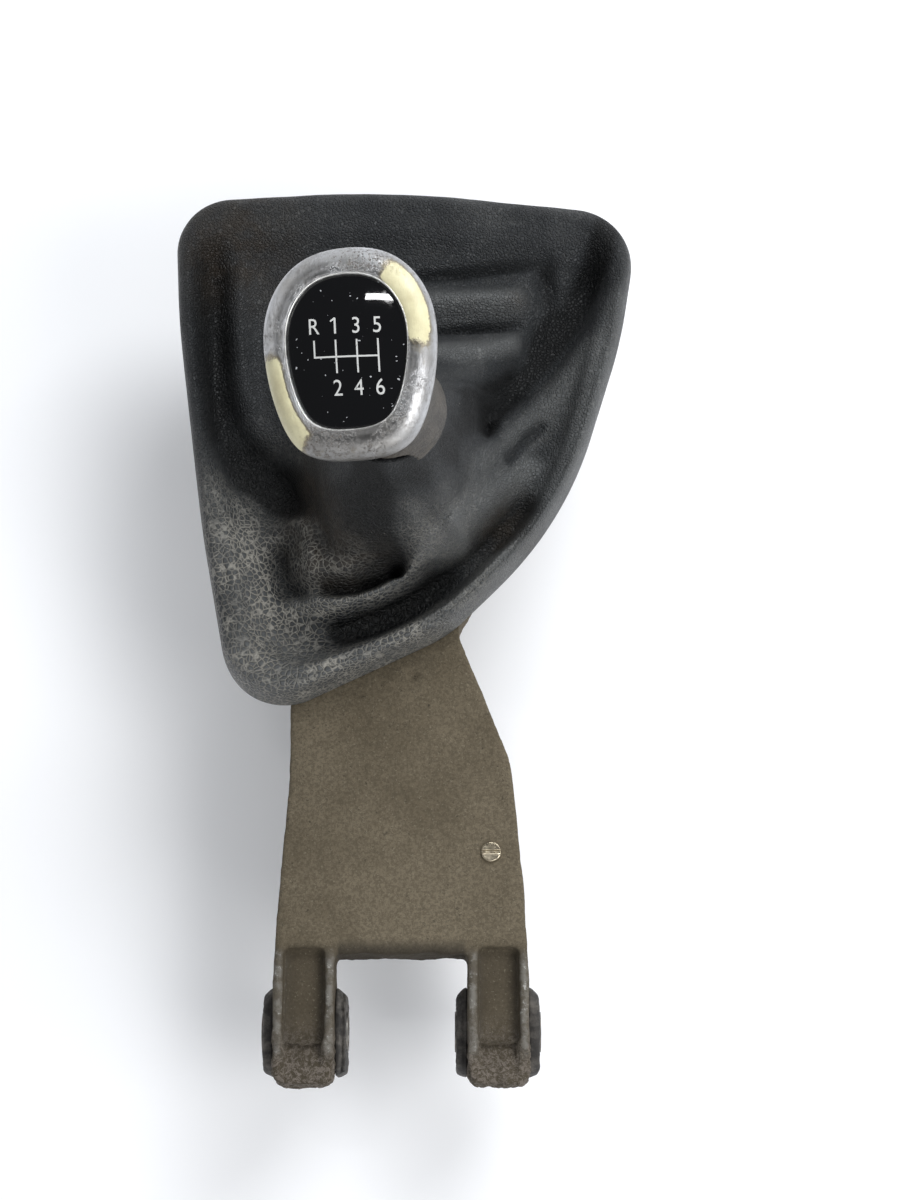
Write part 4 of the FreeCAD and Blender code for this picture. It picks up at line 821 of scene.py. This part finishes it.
# The knob: a leather-clad grip that flares from a round skirt to an egg-shaped head, with its
# front edge arched open over the lever's neck. The leather is greasy brown-grey with wear.
EGG = [(0, 1), (0.6, 0.86), (0.95, 0.42), (0.985, 0), (0.87, -0.5), (0.64, -0.86), (0.3, -0.985), (0, -1)]
EGG_RING = np.array(EGG + [(-x, y) for x, y in EGG[-2:0:-1]])
ROUND = 200
KNOB_TURN = math.radians(1)
FACE_TILT = math.radians(15)
FACE_STATION = 66.0
upper = Matrix.Translation(crank) @ lean
face = upper @ Matrix.Translation((0, 0, FACE_STATION)) @ Matrix.Rotation(KNOB_TURN, 4, "Z")
face = face @ Matrix.Rotation(FACE_TILT, 4, "X")


def closed_spline(points, count):
    """Points on a smooth closed cubic curve through the given ones."""
    total = len(points)
    ring = np.concatenate([points, points[:1]])
    steps = np.hypot(*np.diff(ring, axis=0).T)
    system = np.zeros((total, total))
    right = np.zeros((total, 2))
    slope = np.diff(ring, axis=0) / steps[:, None]
    for index in range(total):
        before, here = steps[index - 1], steps[index]
        system[index, index - 1] += before
        system[index, index] += 2 * (before + here)
        system[index, (index + 1) % total] += here
        right[index] = 6 * (slope[index] - slope[index - 1])
    curve = np.linalg.solve(system, right)
    knots = np.concatenate([[0], np.cumsum(steps)])
    at = np.linspace(0, knots[-1], count, endpoint=False)
    index = np.clip(np.searchsorted(knots, at, side="right") - 1, 0, total - 1)
    span = steps[index][:, None]
    t = (at - knots[index])[:, None]
    bend0, bend1 = curve[index], curve[(index + 1) % total]
    start, stop = ring[index], ring[index + 1]
    near = bend0 * (span - t) ** 3 / (6 * span) + (start / span - bend0 * span / 6) * (span - t)
    return near + bend1 * t ** 3 / (6 * span) + (stop / span - bend1 * span / 6) * t


EGG_LINE = closed_spline(EGG_RING, ROUND)


def on_face(half_width, half_height, rise):
    """An egg-shaped ring on the knob's face, put in place in metres."""
    flat = EGG_LINE * [half_width, half_height]
    full = np.concatenate([flat, np.full((ROUND, 1), rise), np.ones((ROUND, 1))], axis=1)
    return (full @ np.array(face).T)[:, :3] * MM


def ringed_mesh(name, rings, closed_ends=False):
    points = np.concatenate(rings)
    faces = []
    for row in range(len(rings) - 1):
        for column in range(ROUND):
            following = (column + 1) % ROUND
            a, b = row * ROUND + column, row * ROUND + following
            faces.append((a, b, b + ROUND, a + ROUND))
    if closed_ends:
        for row in (0, len(rings) - 1):
            points = np.concatenate([points, rings[row].mean(axis=0)[None]])
            hub = len(points) - 1
            faces += [(row * ROUND + c, row * ROUND + (c + 1) % ROUND, hub) for c in range(ROUND)]
    else:
        last = (len(rings) - 1) * ROUND
        faces += [(last + c, last + (c + 1) % ROUND, (c + 1) % ROUND, c) for c in range(ROUND)]
    return outward_mesh(name, points, faces)


TUCK_TOP = 46.0
TUCK_RISE = 10.0
TUCK_EASE = 24.0
grip_mesh = cad_copy("grip_hide", "knob_grip", 0.5 * MM, 2)
spots, ways = mesh_arrays(grip_mesh)
spots += ways * (0.22 * lumps(spots, 6 * MM, 14) + 0.07 * lumps(spots, 2 * MM, 18))[:, None] * MM
padded_spots = np.concatenate([spots / MM, np.ones((len(spots), 1))], axis=1)
on_stem = (padded_spots @ np.array(upper.inverted()).T)[:, :3]
tucked = eased((4 - on_stem[:, 0]) / 10) * eased((1 - on_stem[:, 1]) / 13)
tucked *= eased((TUCK_TOP - on_stem[:, 2]) / TUCK_EASE)
spots += (TUCK_RISE * MM * tucked)[:, None] * np.array(upper.to_3x3() @ Vector((0, 0, 1)))
put_back(grip_mesh, spots)
grip_stuff, grip_tree, grip_shader = new_material("grip_stuff", (0.05, 0.045, 0.04), 0.5)
grip_spot = on_object(grip_tree)
grip_wear = ramp(grip_tree, noise_at(grip_tree, grip_spot, 170, 6, 0.7), 0.35, 0.7)
grip_grain = ramp(grip_tree, cells(grip_tree, grip_spot, 900), 0.0, 0.2)
grip_dust = maths(grip_tree, "MULTIPLY", maths(grip_tree, "SUBTRACT", 1.0, grip_grain), 0.15)
grip_tone = mixed(grip_tree, grip_wear, (0.016, 0.013, 0.01), (0.058, 0.049, 0.038))
grip_tone = mixed(grip_tree, grip_dust, grip_tone, (0.22, 0.2, 0.165))
grip_tree.links.new(grip_tone, grip_shader.inputs["Base Color"])
bumped(grip_tree, grip_shader, grip_grain, 0.00016, 0.7)
grip_hide = mesh_object("grip_hide", grip_mesh, grip_stuff)
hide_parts("knob_grip")
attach(grip_hide, "lever")
dress("knob_core", housing_plastic)

# The trim ring: plastic with a satin metal skin, crowned, and worn through to the cream
# plastic at the upper right and the lower left, with pits and fine scratches elsewhere.
FACE_HALF_WIDTH = 25.9
FACE_HALF_HEIGHT = 31.1
CAP_HALF_WIDTH = 17.9
CAP_HALF_HEIGHT = 22.4
RING_WIDTH = 8.0
RING_PROFILE = [
    (0.0, 0.5), (0.9, 0.15), (2.0, 0.0), (3.3, 0.15), (4.7, 0.7), (5.9, 1.6), (6.9, 2.8), (7.6, 4.1),
    (7.95, 5.4), (7.95, 6.4), (7.75, 7.2), (7.6, 7.5), (7.75, 7.62), (7.6, 7.8), (7.1, 8.0),
]
EDGE_LINE = 7.45
ring_steps = smooth_rows([(inset, rise) for rise, inset in RING_PROFILE], 72, 1.0)
ring_rings = []
for inset, rise in ring_steps:
    share = inset / RING_WIDTH
    wide = FACE_HALF_WIDTH + (CAP_HALF_WIDTH - FACE_HALF_WIDTH) * share
    tall = FACE_HALF_HEIGHT + (CAP_HALF_HEIGHT - FACE_HALF_HEIGHT) * share
    ring_rings.append(on_face(wide, tall, rise))
ring_rings.append(on_face(CAP_HALF_WIDTH, CAP_HALF_HEIGHT, 0.0))
ring_mesh = ringed_mesh("trim_ring", ring_rings)
edge_rows = np.append(eased((ring_steps[:, 0] - EDGE_LINE) / 0.1), 0.0)

# Places rubbed bare: from and to round the egg in degrees, the ease at both ends, and the
# inset where each starts and stops.
BARE_ARCS = [(-8, 68, 24, 16, 0.2, 8.6), (168, 247, 30, 14, -1.4, 7.0)]
INSET_EASE = 2.4
turns = np.degrees(np.arctan2(EGG_LINE[:, 1] * FACE_HALF_HEIGHT, EGG_LINE[:, 0] * FACE_HALF_WIDTH))
turns = np.where(turns < -100, turns + 360, turns)
insets = np.append(ring_steps[:, 0], RING_WIDTH)
bare_map = np.zeros((len(ring_rings), ROUND))
for first, last, first_ease, last_ease, low, high in BARE_ARCS:
    round_share = eased((turns - first) / first_ease) * eased((last - turns) / last_ease)
    inset_share = eased((insets - low) / INSET_EASE) * eased((high - insets) / INSET_EASE)
    bare_map = np.maximum(bare_map, inset_share[:, None] * round_share)
ring_mesh.attributes.new("bare", "FLOAT", "POINT").data.foreach_set("value", bare_map.ravel())
ring_mesh.attributes.new("edge", "FLOAT", "POINT").data.foreach_set("value", edge_rows.repeat(ROUND))

ring_skin, skin_tree, skin_shader = new_material("ring_skin", (0.55, 0.56, 0.58), 0.32, 1.0)
skin_spot = on_object(skin_tree)
ragged_noise = noise_at(skin_tree, skin_spot, 300, 6, 0.75)
bare_fac = add(skin_tree, "ShaderNodeAttribute", attribute_name="bare").outputs["Fac"]
worn = maths(skin_tree, "ADD", bare_fac, maths(skin_tree, "SUBTRACT", ragged_noise, 0.5))
bare = ramp(skin_tree, worn, 0.34, 0.52)
tanned = ramp(skin_tree, worn, 0.06, 0.34)
pits = ramp(skin_tree, noise_at(skin_tree, skin_spot, 900, 5, 0.8), 0.5, 0.6)
pit_zone = ramp(skin_tree, noise_at(skin_tree, skin_spot, 60, 3, 0.6), 0.45, 0.62)
top_pits = patch(skin_tree, skin_spot, face @ Vector((5.0, 28.0, 6.0)), 8.5, 4.0)
low_pits = patch(skin_tree, skin_spot, face @ Vector((-8.0, -26.5, 6.5)), 8.0, 5.0)
end_pits = maths(skin_tree, "MAXIMUM", top_pits, low_pits)
pitted = maths(skin_tree, "MULTIPLY", pits, maths(skin_tree, "MAXIMUM", pit_zone, end_pits))
scratch_map = add(skin_tree, "ShaderNodeMapping", {"Scale": (1.0, 0.25, 1.0), "Rotation": (0.0, 0.0, 0.3)})
skin_tree.links.new(skin_spot, scratch_map.inputs["Vector"])
scratches = ramp(skin_tree, noise_at(skin_tree, scratch_map.outputs[0], 1300, 5, 0.7), 0.42, 0.7)
scratch_zone = ramp(skin_tree, noise_at(skin_tree, skin_spot, 75, 4, 0.6), 0.4, 0.62)
scuffed = maths(skin_tree, "MULTIPLY", scratches, scratch_zone)
tarnish = ramp(skin_tree, noise_at(skin_tree, skin_spot, 110, 6, 0.7), 0.3, 0.75)
skin_tone = mixed(skin_tree, tarnish, (0.52, 0.53, 0.55), (0.36, 0.355, 0.35))
# Painted shade: the ring is darker at its bottom.
low_painted_shade = patch(skin_tree, skin_spot, face @ Vector((-2, -30, 5)), 18, 9)
skin_tone = layered(skin_tree, skin_tone, [
    (low_painted_shade, 0.75, (0.2, 0.195, 0.185)),
    (scuffed, 0.85, (0.2, 0.195, 0.19)),
    (tanned, 0.75, (0.26, 0.22, 0.14)),
])
skin_tone = mixed(skin_tree, pitted, skin_tone, (0.1, 0.085, 0.07))
cream = mixed(skin_tree, tarnish, (0.78, 0.73, 0.47), (0.6, 0.54, 0.33))
skin_tone = mixed(skin_tree, bare, skin_tone, cream)
skin_edge = add(skin_tree, "ShaderNodeAttribute", attribute_name="edge").outputs["Fac"]
skin_tone = mixed(skin_tree, skin_edge, skin_tone, (0.86, 0.86, 0.84))
skin_tree.links.new(skin_tone, skin_shader.inputs["Base Color"])
not_bare = maths(skin_tree, "SUBTRACT", 1.0, maths(skin_tree, "MAXIMUM", bare, pitted))
skin_tree.links.new(not_bare, skin_shader.inputs["Metallic"])
skin_rough = ramp(skin_tree, ragged_noise, 0.3, 0.75, ((0, 0.26), (1, 0.46)))
skin_tree.links.new(skin_rough, skin_shader.inputs["Roughness"])
skin_height = maths(skin_tree, "SUBTRACT", 0.0, maths(skin_tree, "ADD", bare, pitted))
skin_fine = bumped(skin_tree, skin_shader, scratches, 0.00004, 0.6)
bumped(skin_tree, skin_shader, skin_height, 0.00012, 0.8, skin_fine)
trim_ring = mesh_object("trim_ring", ring_mesh, ring_skin)
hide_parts("knob_trim_ring")
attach(trim_ring, "lever")

# The cap: a clear-over-black moulding with a low dome, scratched, with specks of dust, set in
# the ring with a thin bright edge.
CAP_EDGE_RISE = 6.9
CAP_DOME = 1.2
CAP_GAP = 0.05
CAP_LIP = 0.25
DOME_RINGS = 30
cap_rings = [
    on_face(CAP_HALF_WIDTH - CAP_GAP, CAP_HALF_HEIGHT - CAP_GAP, rise)
    for rise in (0.0, CAP_EDGE_RISE - CAP_LIP)
]
for step in range(DOME_RINGS):
    share = 1 - step / DOME_RINGS
    rise = CAP_EDGE_RISE + CAP_DOME * (1 - share ** 2)
    cap_rings.append(on_face((CAP_HALF_WIDTH - CAP_LIP) * share, (CAP_HALF_HEIGHT - CAP_LIP) * share, rise))
cap_gloss, gloss_tree, gloss_shader = new_material("cap_gloss", (0.0035, 0.0037, 0.0045), 0.06)
gloss_spot = on_object(gloss_tree)
specks = ramp(gloss_tree, noise_at(gloss_tree, gloss_spot, 900, 1, 0.5), 0.745, 0.765)
gloss_tone = mixed(gloss_tree, specks, (0.0035, 0.0037, 0.0045), (0.45, 0.46, 0.47))
gloss_tree.links.new(gloss_tone, gloss_shader.inputs["Base Color"])
gloss_haze = noise_at(gloss_tree, gloss_spot, 200, 6, 0.7)
gloss_rough = ramp(gloss_tree, gloss_haze, 0.5, 0.8, ((0, 0.025), (1, 0.12)))
gloss_tree.links.new(gloss_rough, gloss_shader.inputs["Roughness"])
cap_mesh = ringed_mesh("pattern_cap", cap_rings, closed_ends=True)
pattern_cap = mesh_object("pattern_cap", cap_mesh, cap_gloss)
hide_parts("knob_cap")
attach(pattern_cap, "lever")

# The shift pattern: pale print on the cap, reverse and six gears over a gate of thin lines,
# a little scuffed. It slopes slightly on the face.
COLUMNS = [-9.4, -3.0, 3.2, 9.35]
UPPER_ROW = 7.5
LOWER_ROW = -10.5
NUMBERS = [
    ("R", 0, UPPER_ROW), ("1", 1, UPPER_ROW), ("3", 2, UPPER_ROW), ("5", 3, UPPER_ROW),
    ("2", 1, LOWER_ROW), ("4", 2, LOWER_ROW), ("6", 3, LOWER_ROW),
]
# The 1 has a short flag at its top left.
FLAG = ((-1.1, 8.9), (-0.1, 9.6))
NUMBER_HEIGHT = 4.7
HEIGHT_TO_SIZE = 1.42
NARROWING = 0.88
GATE_TOP = 3.1
GATE_MIDDLE = -1.6
GATE_BOTTOM = -6.1
LINE_WIDTH = 0.5
LINE_PARTS = 12
PRINT_SLOPE = -0.045
PRINT_LIFT = 0.04
LOOK_DOWN = 20.0
print_white, print_tree, print_shader = new_material("print_white", (0.62, 0.62, 0.6), 0.4)
print_spot = on_object(print_tree)
print_worn = ramp(print_tree, noise_at(print_tree, print_spot, 900, 4, 0.7), 0.6, 0.68)
print_tone = mixed(print_tree, print_worn, (0.6, 0.6, 0.58), (0.12, 0.12, 0.12))
print_tree.links.new(print_tone, print_shader.inputs["Base Color"])

pattern = bmesh.new()


def gate_line(start, stop):
    """A thin printed line between two flat points, in short parts so that it can bend."""
    start, stop = Vector(start), Vector(stop)
    way = (stop - start).normalized() * LINE_WIDTH / 2
    side = Vector((-way.y, way.x))
    start, stop = start - way, stop + way
    pairs = []
    for part in range(LINE_PARTS + 1):
        here = start.lerp(stop, part / LINE_PARTS)
        pairs.append([pattern.verts.new((*(here + side), 0)), pattern.verts.new((*(here - side), 0))])
    for (a, b), (c, d) in zip(pairs[:-1], pairs[1:]):
        pattern.faces.new([a, b, d, c])


gate_line((COLUMNS[0], GATE_TOP), (COLUMNS[0], GATE_MIDDLE))
for column in COLUMNS[1:]:
    gate_line((column, GATE_TOP), (column, GATE_BOTTOM))
gate_line((COLUMNS[0], GATE_MIDDLE), (COLUMNS[3], GATE_MIDDLE))
gate_line(*((COLUMNS[1] + x, y) for x, y in FLAG))
for letter, column, up in NUMBERS:
    text = bpy.data.curves.new("letter", "FONT")
    text.body = letter
    text.size = NUMBER_HEIGHT * HEIGHT_TO_SIZE
    text.align_x = "CENTER"
    letter_object = bpy.data.objects.new("letter", text)
    bpy.context.scene.collection.objects.link(letter_object)
    letter_shape = letter_object.evaluated_get(bpy.context.evaluated_depsgraph_get())
    letter_mesh = bpy.data.meshes.new_from_object(letter_shape)
    place = Matrix.Translation((COLUMNS[column], up - NUMBER_HEIGHT / 2, 0))
    letter_mesh.transform(place @ Matrix.Scale(NARROWING, 4, (1, 0, 0)))
    pattern.from_mesh(letter_mesh)
    bpy.data.objects.remove(letter_object)
cap_faces = [tuple(polygon.vertices) for polygon in cap_mesh.polygons]
dome = BVHTree.FromPolygons([vertex.co for vertex in cap_mesh.vertices], cap_faces)
down = -(face.to_3x3() @ Vector((0, 0, 1)))
for corner in pattern.verts:
    above = face @ Vector((corner.co.x, corner.co.y + PRINT_SLOPE * corner.co.x, LOOK_DOWN)) * MM
    corner.co = dome.ray_cast(above, down)[0] - down * PRINT_LIFT * MM
pattern_mesh = bpy.data.meshes.new("shift_pattern")
pattern.to_mesh(pattern_mesh)
pattern.free()
shift_pattern = mesh_object("shift_pattern", pattern_mesh, print_white, smooth=False)
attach(shift_pattern, "lever")

# The sizes of the solids and of the dressed part, to compare.
sizes = {"cad": cad_bounds, "visual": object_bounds()}
sizes = {key: [[float(part) for part in corner] for corner in box] for key, box in sizes.items()}
